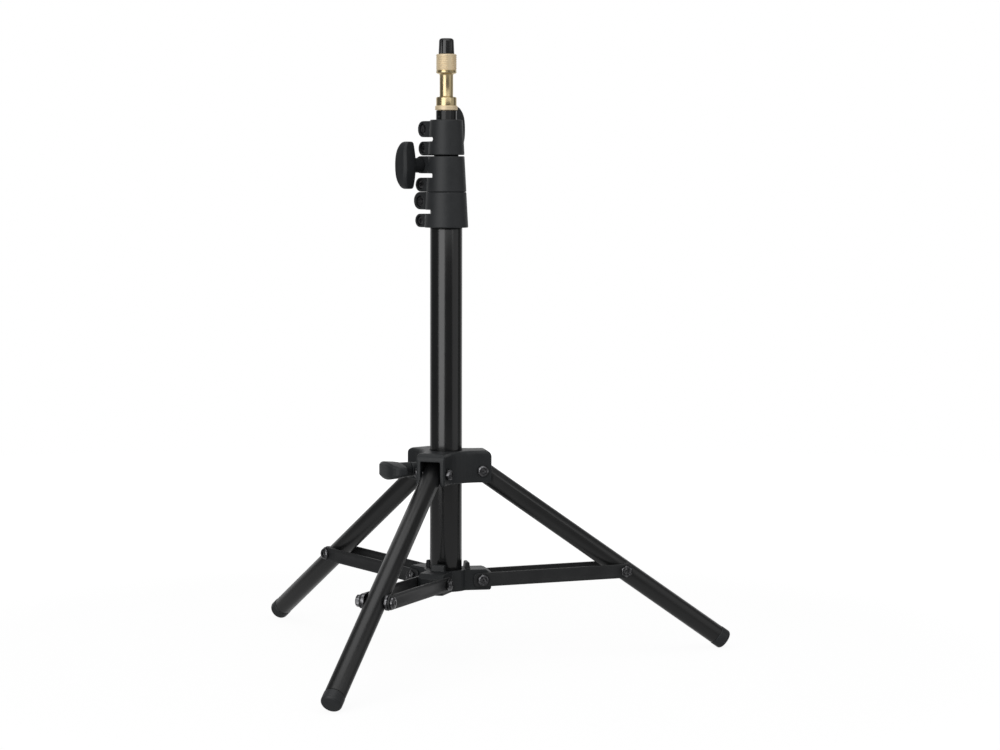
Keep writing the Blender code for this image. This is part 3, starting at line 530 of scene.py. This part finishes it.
def pivotBolt(node, axes, seat):
    # a button head on the pivot's -Y side and a nut on the other
    shape = boltShape
    headSeat = seat + touchGap
    name = node.title().replace("_", "")
    name = name[0].lower() + name[1:]
    top = headSeat + shape["headLength"]
    shank = [(0, -headSeat), (shape["shank"], -headSeat), (shape["shank"], headSeat)]
    bolt = turnProfile(name + "Head", shank + domedHead(headSeat, shape["head"], shape["headLength"])
                       + [(0, top)], 48)
    cutSocket(bolt, shape["socket"], top, shape["socketDepth"])
    roundEdges(bolt, shape["edge"], 2, 40)
    setPlace(bolt, axes @ standing)
    dress(bolt, node, steel)
    nut = hexNut(name + "Nut", shape["nut"], shape["shank"], headSeat, headSeat + shape["nutLength"],
                 shape["shows"])
    setPlace(nut, axes @ alongY)
    dress(nut, node, steel)


def jointBolt(number, axes, skin, inside, seat):
    # two short halves, either side of the leg, each with its washer against the bar
    shape = boltShape
    neck = [(0, skin), (shape["washer"], skin), (shape["washer"], inside), (shape["shank"], inside),
            (shape["shank"], seat)]
    top = seat + shape["headLength"]
    head = domedHead(seat, shape["head"], shape["headLength"])
    bolt = turnProfile(f"strut{number}JointHead", neck + head + [(0, top)], 48)
    cutSocket(bolt, shape["socket"], top, shape["socketDepth"])
    roundEdges(bolt, shape["jointEdge"], 2, 40)
    setPlace(bolt, axes @ alongY)
    dress(bolt, f"strut_{number}_joint_bolt", steel)
    stub = turnProfile(f"strut{number}JointNut", neck + [(0, seat)], 48)
    nut = hexNut("nut", shape["nut"], shape["shank"], seat, seat + shape["nutLength"], shape["shows"])
    combine(stub, "UNION", nut)
    setPlace(stub, axes @ Matrix.Rotation(math.pi, 4, "X") @ alongY)
    dress(stub, f"strut_{number}_joint_nut", steel)


# Legs and struts

legShape = {
    "azimuths": (0, 120, 240), "pivot": (0.0273, 0, 0.0942), "slope": 35.38, "pastPivot": 0.0050,
    "radius": 0.00775, "wall": 0.001, "length": 0.2448, "hole": 0.0027, "drillReach": 0.02,
    "footLength": 0.0088, "footRadius": 0.0080, "footRounding": 0.0026, "footEdge": 0.0004,
    "footSpigot": 0.0120, "plugHead": 0.0016, "plugSpigot": 0.0160,
}
strutShape = {
    "pivot": (0.0276, 0, 0.00855), "jointAlongLeg": 0.1410, "pastPivot": 0.0073, "rounding": 0.0040,
    "height": 0.0110, "thickness": 0.0016, "spacing": 0.0210, "edge": 0.00035,
    "hole": 0.0027, "drillReach": 0.03,
}
yokeWall = 0.0036


def linkAxes(pivot, along, azimuth):
    turn = Matrix.Rotation(math.radians(azimuth), 3, "Z")
    xAxis = turn @ along
    return axesAt(turn @ pivot, xAxis.cross(turn @ Vector((0, 1, 0))), xAxis)


def buildLeg(number, azimuth):
    shape = legShape
    slope = math.radians(shape["slope"])
    axes = linkAxes(Vector(shape["pivot"]), Vector((math.cos(slope), 0, -math.sin(slope))), azimuth)
    radius, inside = shape["radius"], shape["radius"] - shape["wall"]
    start, end = -shape["pastPivot"], shape["length"] - shape["footLength"] - touchGap
    tube = turnProfile(f"leg{number}Skin", [(inside, start), (radius, start), (radius, end), (inside, end)],
                       80, hollow=True)
    setPlace(tube, alongX)
    drillThrough(tube, shape["hole"], shape["drillReach"], alongY)
    roundEdges(tube, tubeEdge, 2, 50)
    setPlace(tube, axes)
    dress(tube, f"leg_{number}_tube", tubeFinish(f"leg{number}Satin", axes @ alongX, 0.31))
    spigot = inside - touchGap
    seat = shape["pastPivot"] + touchGap
    head = -seat - shape["plugHead"]
    plug = turnProfile(f"leg{number}PlugSkin", [
        (0, head), (radius * 0.72, head), (radius * 0.88, head + 0.0003), (radius - 0.0004, head + 0.0008),
        (radius - touchGap, -seat), (spigot, -seat), (spigot, shape["plugSpigot"] - seat),
        (0, shape["plugSpigot"] - seat)], 64)
    setPlace(plug, alongX)
    drillThrough(plug, shape["hole"], shape["drillReach"], alongY)
    setPlace(plug, axes)
    dress(plug, f"leg_{number}_top_plug", plastic)
    length, rounding = shape["length"], shape["footRounding"]
    wide, edge = shape["footRadius"], shape["footEdge"]
    shoulder = length - shape["footLength"]
    foot = turnProfile(f"leg{number}FootSkin", [
        (0, shoulder - shape["footSpigot"]), (spigot, shoulder - shape["footSpigot"]), (spigot, shoulder),
        (wide - edge, shoulder), (wide, shoulder + edge)]
        + arc(wide - rounding, length - rounding, rounding, 0, 84, 8) + [(0, length)], 80)
    setPlace(foot, axes @ alongX)
    dress(foot, f"leg_{number}_foot", plastic)
    return axes


def buildStrut(number, azimuth, legAxes):
    shape = strutShape
    turn = Matrix.Rotation(math.radians(azimuth), 3, "Z")
    joint = legAxes @ Vector((shape["jointAlongLeg"], 0, 0))
    near = turn @ Vector(shape["pivot"])
    along = turn.inverted() @ (joint - near)
    length = along.length
    axes = linkAxes(Vector(shape["pivot"]), along / length, azimuth)
    half = shape["height"] / 2
    corner, back = shape["rounding"], -shape["pastPivot"]
    outline = (arc(length, 0, half, -90, 90, 16) + arc(back + corner, half - corner, corner, 90, 180, 6)
               + arc(back + corner, corner - half, corner, 180, 270, 6))
    inside = shape["spacing"] / 2
    outside = inside + shape["thickness"]
    for side, low in (("left", -outside), ("right", inside)):
        bar = drawOutline(f"strut{number}{side.title()}Skin", outline, low, low + shape["thickness"])
        for where in (0, length):
            drillThrough(bar, shape["hole"], shape["drillReach"], Matrix.Translation((where, 0, 0)))
        roundEdges(bar, shape["edge"], 3, 50)
        setPlace(bar, axes @ standing)
        coat = barFinish(f"strut{number}{side.title()}Enamel", axes)
        dress(bar, f"strut_{number}_{side}_bar", coat)
    pivotBolt(f"strut_{number}_pivot_bolt", axes, outside)
    jointBolt(number, axes @ Matrix.Translation((length, 0, 0)), legShape["radius"] + touchGap,
              inside - touchGap, outside + touchGap)


yokeHalf = legShape["radius"] + touchGap + yokeWall
for number, azimuth in enumerate(legShape["azimuths"], 1):
    legAxes = buildLeg(number, azimuth)
    pivotBolt(f"leg_{number}_pivot_bolt", legAxes, yokeHalf)
    buildStrut(number, azimuth, legAxes)
print("legs and struts made")


# Castings

upperCasting = {"yokeCorner": 0.0050, "spare": 0.001, "cutHalf": 0.02, "grain": 0.0004,
                "softFrom": 0.1064, "softOutside": 0.0150, "softPasses": 24, "passes": 5, "keep": 0.35}
lowerCasting = {"grain": 0.00035, "passes": 3, "keep": 0.4}


def buildUpperSpider():
    # the yokes' upper corners are rounded, then the skin is evened and its upper faces are softened
    shape = upperCasting
    casting = copyNode("upperSpiderSkin", "upper_spider")
    _, (yokeEnd, _, yokeTop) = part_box("upper_spider")
    rounding = shape["yokeCorner"]
    past, over = yokeEnd + shape["spare"], yokeTop + shape["spare"]
    outline = ([(past, yokeTop - rounding), (past, over), (yokeEnd - rounding, over)]
               + arc(yokeEnd - rounding, yokeTop - rounding, rounding, 90, 0, 8))
    corners = []
    for azimuth in legShape["azimuths"]:
        corner = standingBlock("corner", outline, shape["cutHalf"])
        corners.append(setPlace(corner, Matrix.Rotation(math.radians(azimuth), 4, "Z")))
    combine(casting, "DIFFERENCE", *corners)
    applyModifier(casting, "REMESH", mode="VOXEL", voxel_size=shape["grain"])
    softenWhere(casting, lambda spot: spot.z > shape["softFrom"]
                and math.hypot(spot.x, spot.y) > shape["softOutside"], shape["softPasses"])
    applyModifier(casting, "SMOOTH", factor=0.5, iterations=shape["passes"])
    applyModifier(casting, "DECIMATE", ratio=shape["keep"])
    dress(casting, "upper_spider", enamel, 60)


buildUpperSpider()
lowerSpider = copyNode("lowerSpiderSkin", "lower_spider")
mouldSkin(lowerSpider, **lowerCasting)
dress(lowerSpider, "lower_spider", enamel, 60)
print("castings made")


# Knobs

knobShape = {"stem": 0.00575, "stemLength": 0.0090, "stemEdge": 0.0004, "length": 0.0367,
             "width": 0.0140, "endWidth": 0.0068, "endDepth": 0.0070, "face": 0.70, "root": 0.84,
             "ridge": 0.86, "boreDepth": 0.0130, "edge": 0.0011, "end": 0.0018, "steps": 16}
knobSkin = {"grain": 0.0003, "passes": 4, "keep": 0.45}


def buildKnob(name, node, place, along, wingAlong, seat, screw, depth):
    # the wing is drawn at one end and pulled along in steps, wider and deeper towards the middle
    shape = knobShape
    low = seat + shape["stemLength"]
    half = shape["length"] / 2
    wide, deep = shape["endWidth"], shape["endDepth"]
    face, root, ridge = wide * shape["face"] / 2, wide * shape["root"] / 2, deep * shape["ridge"]
    side = [(root, 0), (wide / 4 + root / 2, ridge / 3), (wide / 2, ridge), (face, deep)]
    outline = [(z, -y) for y, z in side] + [(z, y) for y, z in side[::-1]]
    stride = 2 * half / shape["steps"]
    wing = drawOutline(name, outline, 0, stride)
    lying = Matrix(((0, 0, 1), (0, 1, 0), (1, 0, 0))).to_4x4()
    setPlace(wing, Matrix.Translation((-half, 0, low)) @ lying)
    pickFaces(wing, lambda middle: middle.x > stride * 0.9 - half)
    for step in range(1, shape["steps"] + 1):
        share = -1 + 2 * step / shape["steps"]
        nextWide = shape["width"] + (shape["endWidth"] - shape["width"]) * share ** 2
        nextDeep = depth + (shape["endDepth"] - depth) * share ** 4
        if step > 1:
            bpy.ops.mesh.extrude_region_move(TRANSFORM_OT_translate={"value": (stride, 0, 0)})
        bpy.ops.transform.resize(value=(1, nextWide / wide, nextDeep / deep),
                                 center_override=(half * share, 0, low))
        wide, deep = nextWide, nextDeep
    bpy.ops.mesh.select_all(action="SELECT")
    bpy.ops.mesh.normals_make_consistent(inside=False)
    endEdit()
    pickEdges(wing, lambda a, b: abs(a.x - b.x) < 1e-5 and abs(a.x) > half - 1e-5)
    bpy.ops.mesh.bevel(offset=shape["end"], segments=5)
    endEdit()
    roundEdges(wing, shape["edge"], 4, 55)
    radius, stemEdge = shape["stem"], shape["stemEdge"]
    stem = turnProfile("stem", [(0, seat), (radius - stemEdge, seat), (radius, seat + stemEdge),
                                (radius, low), (radius + 0.0006, low + 0.0016), (0, low + 0.0030)], 64)
    combine(wing, "UNION", stem)
    hole = screw + touchGap
    bore = turnProfile("bore", [(hole, seat - 0.001), (hole, seat + shape["boreDepth"])], 32)
    combine(wing, "DIFFERENCE", bore)
    mouldSkin(wing, **knobSkin)
    setPlace(wing, axesAt(place, along, wingAlong))
    # the knob takes the darker copy of the moulding, with its painted shade
    dress(wing, node, shadedKnobPlastic, 60)


# Clamps

clampShape = {
    "heights": (0.2836, 0.31167, 0.33974), "azimuths": (124, 124, 117), "knobSides": (-1, 1, -1),
    "outer": (0.0125, 0.0110, 0.0095), "inner": (0.0110, 0.0095, 0.0080), "length": 0.02717,
    "wallBelow": 0.0046, "wallAbove": 0.00315, "edge": 0.0005, "lowerEar": 0.0105, "slot": 0.0033,
    "upperEar": 0.0125, "half": 0.0080, "split": 0.0020, "screws": (0.0219, 0.0213, 0.0207),
    "tubeTop": 0.0158, "screwHole": 0.0027, "boltHole": 0.0022, "boltHead": 0.0035,
    "boltHeadRoom": 0.0043, "nut": 0.0080, "nutLength": 0.0040, "smallNut": 0.0070,
    "smallNutLength": 0.0032, "smallNutRoom": 0.0041, "grain": 0.00036, "passes": 3, "keep": 0.4,
    "filletAcross": 0.0022, "filletDeep": 0.0020, "filletPasses": 30, "knobDepth": 0.0124,
    # the clamps stand so close that little light comes through between them
    "bodyDrop": (0, 0.0004, 0), "bodyRise": (0.0004, 0, 0),
    "earDrop": (0, 0.0004, 0.0004), "earRise": (0.0012, 0.0009, 0),
}


def crossRod(name, radius, x, z, low, high):
    rod = turnProfile(name, [(radius, low), (radius, high)], 40)
    return setPlace(rod, Matrix.Translation((x, 0, z)) @ alongY)


def crossNut(name, across, x, z, ends):
    # the room for a trapped nut, whose two ends may come in either order
    hole = hexagon(name, across + 2 * touchGap, *sorted(ends))
    return setPlace(hole, Matrix.Translation((x, 0, z)) @ alongY)


def buildClamp(index, prefix):
    shape = clampShape
    outer, inner = shape["outer"][index], shape["inner"][index]
    height, azimuth, side = (shape[key][index] for key in ("heights", "azimuths", "knobSides"))
    length, edge, half = shape["length"], shape["edge"], shape["half"]
    below, above = outer + shape["wallBelow"], outer + shape["wallAbove"]
    screwX = shape["screws"][index]
    slotLow = shape["lowerEar"]
    slotHigh = slotLow + shape["slot"]
    lowerZ, upperZ = slotLow / 2, slotHigh + shape["upperEar"] / 2
    foot, top = -shape["bodyDrop"][index], length + shape["bodyRise"][index]
    clamp = turnProfile(prefix + "ClampSkin", [(0, foot), (below - edge, foot), (below, foot + edge),
                                               (above, top - edge), (above - edge, top), (0, top)], 96)
    ears = []
    drop, rise = shape["earDrop"][index], shape["earRise"][index]
    for low, tall in ((-drop, shape["lowerEar"] + drop), (slotHigh, shape["upperEar"] + rise)):
        outline = [(0, low)] + arc(screwX, low + tall / 2, tall / 2, -90, 90, 14) + [(0, low + tall)]
        ears.append(standingBlock("ear", outline, half))
    combine(clamp, "UNION", *ears)
    gap = shape["slot"] / 2
    slot = standingBlock("slot", arc(gap - edge, slotLow + gap, gap, 90, 270, 10)
                         + [(screwX * 2, slotLow), (screwX * 2, slotHigh)], screwX)
    cut, far = shape["split"] / 2, screwX * 2
    split = drawOutline("split", [(edge, -cut), (far, -cut), (far, cut), (edge, cut)], -length, length * 2)
    tubeTop = shape["tubeTop"] + touchGap
    bore = turnProfile("bore", [(outer + touchGap, -0.001), (outer + touchGap, tubeTop),
                                (inner + touchGap, tubeTop), (inner + touchGap, length * 2)], 96)
    nutRoom = shape["nutLength"] + touchGap
    headLow = half - shape["boltHeadRoom"]
    combine(clamp, "DIFFERENCE", slot, split, bore,
            crossRod("screwHole", shape["screwHole"], screwX, upperZ, -screwX, screwX),
            crossRod("boltHole", shape["boltHole"], screwX, lowerZ, -screwX, screwX),
            crossRod("headHole", shape["boltHead"] + touchGap, screwX, lowerZ, headLow, half * 2),
            crossNut("nutHole", shape["nut"], screwX, upperZ,
                     (-side * (half - nutRoom), -side * half * 2)),
            crossNut("smallNutHole", shape["smallNut"], screwX, lowerZ,
                     (-half * 2, shape["smallNutRoom"] - half)))

    def besideEar(spot):
        off = math.hypot(spot.x, spot.y) - below - (above - below) * spot.z / length
        return (spot.x > 0 and abs(abs(spot.y) - half) < shape["filletAcross"]
                and abs(off) < shape["filletDeep"])

    applyModifier(clamp, "REMESH", mode="VOXEL", voxel_size=shape["grain"])
    softenWhere(clamp, besideEar, shape["filletPasses"])
    applyModifier(clamp, "SMOOTH", factor=0.5, iterations=shape["passes"])
    applyModifier(clamp, "DECIMATE", ratio=shape["keep"])
    axes = axesAt((0, 0, height), up, direction(azimuth))
    setPlace(clamp, axes)
    dress(clamp, f"{prefix}_clamp", plastic, 60)
    clampHardware(prefix, axes, screwX, lowerZ, upperZ, side)
    place = direction(azimuth) * screwX + Vector((0, 0, height + upperZ))
    buildKnob(prefix + "KnobSkin", f"{prefix}_knob", place, direction(azimuth + 90) * side, up,
              half + touchGap, boltShape["shank"], shape["knobDepth"])


collarScrew = {"radius": 0.0020, "sunk": 0.0009, "headSeat": 0.0040, "socket": 0.0030,
               "socketDepth": 0.0015, "nutSunk": 0.0006, "shows": 0.0004}


def clampHardware(prefix, axes, screwX, lowerZ, upperZ, side):
    # the collar screw with its nut below the slot, and the nut in the ear across from the knob
    shape = clampShape
    half, radius, head = shape["half"], collarScrew["radius"], shape["boltHead"]
    headTop, headLow = half - collarScrew["sunk"], half - collarScrew["headSeat"]
    screw = turnProfile(prefix + "CollarScrew", [
        (0, -half), (radius, -half), (radius, headLow), (head, headLow), (head, headTop - 0.0007),
        (head - 0.0004, headTop - 0.0002), (head - 0.0011, headTop), (0, headTop)], 48)
    cutSocket(screw, collarScrew["socket"], headTop, collarScrew["socketDepth"])
    nutTop = half - collarScrew["nutSunk"]
    nut = hexNut("nut", shape["smallNut"], radius, nutTop - shape["smallNutLength"], nutTop,
                 collarScrew["shows"])
    setPlace(nut, Matrix.Rotation(math.pi, 4, "X"))
    combine(screw, "UNION", nut)
    setPlace(screw, axes @ Matrix.Translation((screwX, 0, lowerZ)) @ alongY)
    dress(screw, f"{prefix}_clamp_bolt", steel)
    knobNut = hexNut(prefix + "TrappedNut", shape["nut"], boltShape["shank"], half - shape["nutLength"],
                     half - 0.0010, 0.0003)
    turn = Matrix.Identity(4) if side < 0 else Matrix.Rotation(math.pi, 4, "X")
    setPlace(knobNut, axes @ Matrix.Translation((screwX, 0, upperZ)) @ turn @ alongY)
    dress(knobNut, f"{prefix}_knob_nut", steel)


for index, prefix in enumerate(("base", "middle", "top")):
    buildClamp(index, prefix)
spiderKnob = {"azimuth": 195.0, "height": 0.0962, "reach": 0.0304, "screw": 0.0030, "depth": 0.0130}
buildKnob("spiderKnobSkin", "spider_knob", Vector((0, 0, spiderKnob["height"])),
          direction(spiderKnob["azimuth"]), direction(spiderKnob["azimuth"] - 90),
          spiderKnob["reach"] + touchGap, spiderKnob["screw"], spiderKnob["depth"])
print("clamps and knobs moulded")


# Stud

studShape = {"low": 0.3743, "spigot": 0.0067, "spigotLength": 0.0300, "flange": 0.0087,
             "flangeLength": 0.0033, "radius": 0.0079, "collarLength": 0.0068, "waist": 0.0052,
             "waistLength": 0.0170, "shoulderLength": 0.0029, "headLength": 0.0130, "flats": 0.0152,
             "flatAzimuth": 12, "grooves": 8, "grooveDepth": 0.0003, "thread": 0.00476,
             "threadLength": 0.0105, "threadTurns": 10, "threadDepth": 0.0005,
             "pin": 0.0012, "pinDrop": 0.0051, "pinAzimuth": 125, "pinHole": 0.0014, "pinEdge": 0.0003}
capShape = {"base": 0.0061, "top": 0.0057, "length": 0.0122, "rounding": 0.0022, "flutes": 5,
            "fluteAzimuth": 224, "flute": 0.0020, "fluteDepth": 0.0004}


def buildStud():
    shape = studShape
    low, radius = shape["low"], shape["radius"]
    collar = low + shape["flangeLength"]
    waist = collar + shape["collarLength"]
    shoulder = waist + shape["waistLength"]
    head = shoulder + shape["shoulderLength"]
    top = head + shape["headLength"]
    slim, flange, spigot = shape["waist"], shape["flange"], shape["spigot"]
    bottom = low - shape["spigotLength"]
    profile = [(0, bottom), (spigot - 0.0005, bottom), (spigot, bottom + 0.0005), (spigot, low),
               (flange - 0.0003, low), (flange, low + 0.0003), (flange, collar - 0.0004),
               (flange - 0.0003, collar), (radius, collar + 0.0001), (radius, waist - 0.0008),
               (radius - 0.0003, waist - 0.0002), (radius - 0.0010, waist),
               (slim + 0.0009, waist), (slim + 0.0003, waist + 0.0003), (slim, waist + 0.0009),
               (slim, shoulder - 0.0003), (slim + 0.0003, shoulder + 0.0004),
               (radius - 0.0016, shoulder + 0.0008), (radius - 0.0005, shoulder + 0.0012),
               (radius, shoulder + 0.0018), (radius, head - 0.0004), (radius - 0.0003, head),
               (radius - 0.0003, head + 0.0003), (radius, head + 0.0006)]
    pitch = (shape["headLength"] - 0.0018) / shape["grooves"]
    sunk = radius - shape["grooveDepth"]
    for groove in range(shape["grooves"]):
        foot = head + 0.0008 + pitch * groove
        profile += [(radius, foot), (sunk, foot + pitch * 0.25), (sunk, foot + pitch * 0.4),
                    (radius, foot + pitch * 0.65)]
    thread = shape["thread"]
    profile += [(radius, top - 0.0006), (radius - 0.0006, top), (thread, top)]
    threadPitch = shape["threadLength"] / (shape["threadTurns"] + 1)
    for turn in range(shape["threadTurns"]):
        foot = top + 0.0004 + threadPitch * turn
        profile += [(thread - shape["threadDepth"], foot), (thread, foot + threadPitch / 2)]
    profile += [(thread - 0.0006, top + shape["threadLength"]), (0, top + shape["threadLength"])]
    stud = turnProfile("studSkin", profile, 96)
    flats = []
    near, far = shape["flats"] / 2, radius * 2
    for number in range(4):
        flat = drawOutline("flat", [(near, -radius), (far, -radius), (far, radius), (near, radius)],
                           shoulder + 0.0009, top + radius)
        turned = math.radians(90 * number + shape["flatAzimuth"])
        flats.append(setPlace(flat, Matrix.Rotation(turned, 4, "Z")))
    pinAxes = (Matrix.Translation((0, 0, low - shape["pinDrop"]))
               @ Matrix.Rotation(math.radians(shape["pinAzimuth"]), 4, "Z"))
    hole = turnProfile("pinHole", [(shape["pinHole"], -0.02), (shape["pinHole"], 0.02)], 24)
    combine(stud, "DIFFERENCE", *flats, setPlace(hole, pinAxes @ alongY))
    dress(stud, "stud", turnedBrass, 28)
    reach, slender, edge = risers[2]["radius"], shape["pin"], shape["pinEdge"]
    pin = turnProfile("studPinSkin", [
        (0, -reach), (slender - edge, -reach), (slender, 0.0004 - reach), (slender, reach - 0.0004),
        (slender - edge, reach), (0, reach)], 32)
    setPlace(pin, pinAxes @ alongY)
    dress(pin, "stud_pin", steel)
    return top


def buildCap(low):
    shape = capShape
    top, rounding = low + shape["length"], shape["rounding"]
    bore = studShape["thread"] + touchGap
    roof = low + studShape["threadLength"] + touchGap
    base = shape["base"]
    cap = turnProfile("threadCapSkin", [(0, low), (base - 0.0002, low), (base, low + 0.0003)]
                      + arc(shape["top"] - rounding, top - rounding, rounding, 0, 85, 10)
                      + [(0, top)], 80)
    flutes = []
    clear = shape["flute"] - shape["fluteDepth"]
    for number in range(shape["flutes"]):
        flute = turnProfile("flute", [(shape["flute"], -0.001), (shape["flute"], shape["length"])], 48)
        out = direction(shape["fluteAzimuth"] + 360 * number / shape["flutes"])
        foot = out * (base + clear) + up * low
        over = out * (shape["top"] + clear) + up * top
        flutes.append(setPlace(flute, axesAt(foot, over - foot, out)))
    combine(cap, "DIFFERENCE", turnProfile("bore", [(bore, low - 0.001), (bore, roof)], 48), *flutes)
    dress(cap, "thread_cap", tubeFinish("capVinyl", Matrix.Identity(4)))


buildCap(buildStud())
print("stud and cap made")


# What stays of the frame is inside or behind

kept = {"brake_pad": nylon, "riser_1_guide": nylon, "riser_2_guide": nylon, "riser_3_guide": nylon,
        "column_plug": plastic, "foot_screw": steel, "base_knob_screw": steel, "middle_knob_screw": steel,
        "top_knob_screw": steel, "spider_knob_screw": steel}
for node, material in kept.items():
    frame["nodes"][node].material_slots[0].material = material


# Floor, light and camera

view = {"place": (-0.31431, -1.97530, 0.3311), "heading": -9.04, "turn": -0.021056, "pitch": 4.6389,
        "roll": 0.00285, "lens": 92.58, "sensor": 36, "near": 0.05, "far": 50}
studio = {"floor": -0.0531, "floorRadius": 1.5, "glow": 1.17, "sky": 0.30, "gloss": 0.10,
          "ground": 0.28, "back": 0.70}
# each panel's angle, rise, distance, size and radiance
panels = {"key": (33, 12, 1.7, (1.35, 1.9), 1.6), "fill": (-70, 10, 1.7, (1.6, 1.6), 0.28),
          "card": (-22, 34, 1.8, (1.9, 0.9), 0.60), "top": (20, 86, 1.5, (1.6, 1.6), 0.9)}


def makeFloor():
    clearSelection()
    bpy.ops.mesh.primitive_circle_add(vertices=96, radius=studio["floorRadius"],
                                      location=(0, 0, studio["floor"]), fill_type="NGON")
    floor = bpy.context.object
    floor.name = "floor"
    paper = Finish("palePaper", Roughness=0.9, Specular_IOR_Level=0.1)
    spot = paper.node("ShaderNodeTexCoord", output="Object")
    far = paper.node("ShaderNodeVectorMath", {"operation": "LENGTH"}, {0: spot}, output=1)
    fade = paper.node("ShaderNodeMapRange", {"clamp": True, "interpolation_type": "SMOOTHSTEP"},
                      {"Value": far, "From Min": 0.35, "From Max": 1.1, "To Min": 0.80, "To Max": 1.0})
    tone = paper.noise(spot, 0.004, 2)
    paper.feed("Base Color", paper.colours(tone, (0.3, (0.44, 0.44, 0.44)), (0.7, (0.46, 0.46, 0.46))))
    seen = paper.node("ShaderNodeLightPath", output="Is Camera Ray")
    glow = paper.node("ShaderNodeEmission", {}, {"Color": (1, 1, 1, 1), "Strength": studio["glow"]})
    matt = Link(paper, paper.shader.outputs[0])
    mixed = paper.node("ShaderNodeMixShader", {}, {0: seen * fade, 1: matt, 2: glow})
    paper.tree.links.new(mixed.socket, paper.tree.nodes["Material Output"].inputs["Surface"])
    floor.data.materials.append(paper.material)
    floor.visible_glossy = False
    floor.visible_shadow = False


def makePanel(name, angle, rise, distance, size, radiance):
    # a soft panel that faces the stand, at an angle from the camera's side round to its left
    toCamera = Vector((view["place"][0], view["place"][1], 0))
    aim = Vector((0, 0, 0.18))
    flat = Matrix.Rotation(math.radians(-angle), 3, "Z") @ toCamera.normalized()
    away = flat * math.cos(math.radians(rise)) + up * math.sin(math.radians(rise))
    lamp = bpy.data.lights.new(name, "AREA")
    lamp.shape = "RECTANGLE"
    lamp.size, lamp.size_y = size
    lamp.energy = radiance * math.pi * size[0] * size[1]
    holder = bpy.data.objects.new(name, lamp)
    bpy.context.scene.collection.objects.link(holder)
    holder.location = aim + away * distance
    holder.rotation_euler = away.to_track_quat("Z", "Y").to_euler()
    holder.visible_camera = False


def makeWorld():
    world = bpy.data.worlds.new("studio")
    bpy.context.scene.world = world
    sky = NodeTree(world)
    world.cycles.sampling_method = "NONE"
    way = sky.node("ShaderNodeTexCoord", output="Generated")
    # shiny pieces see a dim room with a pale floor below the horizon
    height = sky.node("ShaderNodeSeparateXYZ", {}, {0: way}, "Z")
    ground = sky.node("ShaderNodeMapRange", {}, {"Value": height, "From Min": -0.10, "From Max": -0.40,
                                                 "To Min": studio["gloss"], "To Max": studio["ground"]})
    # and a bright backdrop behind the stand
    ahead = Vector((-view["place"][0], -view["place"][1], 0)).normalized()
    facing = sky.node("ShaderNodeVectorMath", {"operation": "DOT_PRODUCT"}, {0: way, 1: ahead}, "Value")
    backdrop = sky.node("ShaderNodeMapRange", {"interpolation_type": "SMOOTHSTEP"},
                        {"Value": facing, "From Min": 0.5, "From Max": 0.9, "To Min": ground,
                         "To Max": studio["back"]})
    shiny = sky.node("ShaderNodeLightPath", output="Is Glossy Ray")
    dim = sky.node("ShaderNodeMix", {}, {0: shiny, 2: studio["sky"], 3: backdrop})
    seen = sky.node("ShaderNodeLightPath", output="Is Camera Ray")
    strength = sky.node("ShaderNodeMix", {}, {0: seen, 2: dim, 3: 1.0})
    background = sky.tree.nodes["Background"]
    background.inputs["Color"].default_value = (1, 1, 1, 1)
    sky.tree.links.new(strength.socket, background.inputs["Strength"])


def makeCamera():
    data = bpy.data.cameras.new("camera")
    camera = bpy.data.objects.new("camera", data)
    bpy.context.scene.collection.objects.link(camera)
    turn, pitch, roll = view["turn"], math.radians(view["pitch"]), view["roll"]
    ahead = Vector((-math.sin(turn) * math.cos(pitch), math.cos(turn) * math.cos(pitch), -math.sin(pitch)))
    right = Vector((math.cos(turn), math.sin(turn), 0))
    above = right.cross(ahead)
    tilted = math.cos(roll) * right + math.sin(roll) * above
    lifted = math.cos(roll) * above - math.sin(roll) * right
    heading = Matrix.Rotation(math.radians(view["heading"]), 3, "Z")
    facing = heading @ Matrix((tilted, lifted, -ahead)).transposed()
    camera.matrix_world = Matrix.Translation(view["place"]) @ facing.to_4x4()
    data.lens = view["lens"]
    data.sensor_width = view["sensor"]
    data.clip_start, data.clip_end = view["near"], view["far"]
    bpy.context.scene.camera = camera


makeFloor()
for name, settings in panels.items():
    makePanel(name, *settings)
makeWorld()
makeCamera()
bpy.context.scene.view_settings.view_transform = "Standard"
print("studio set")
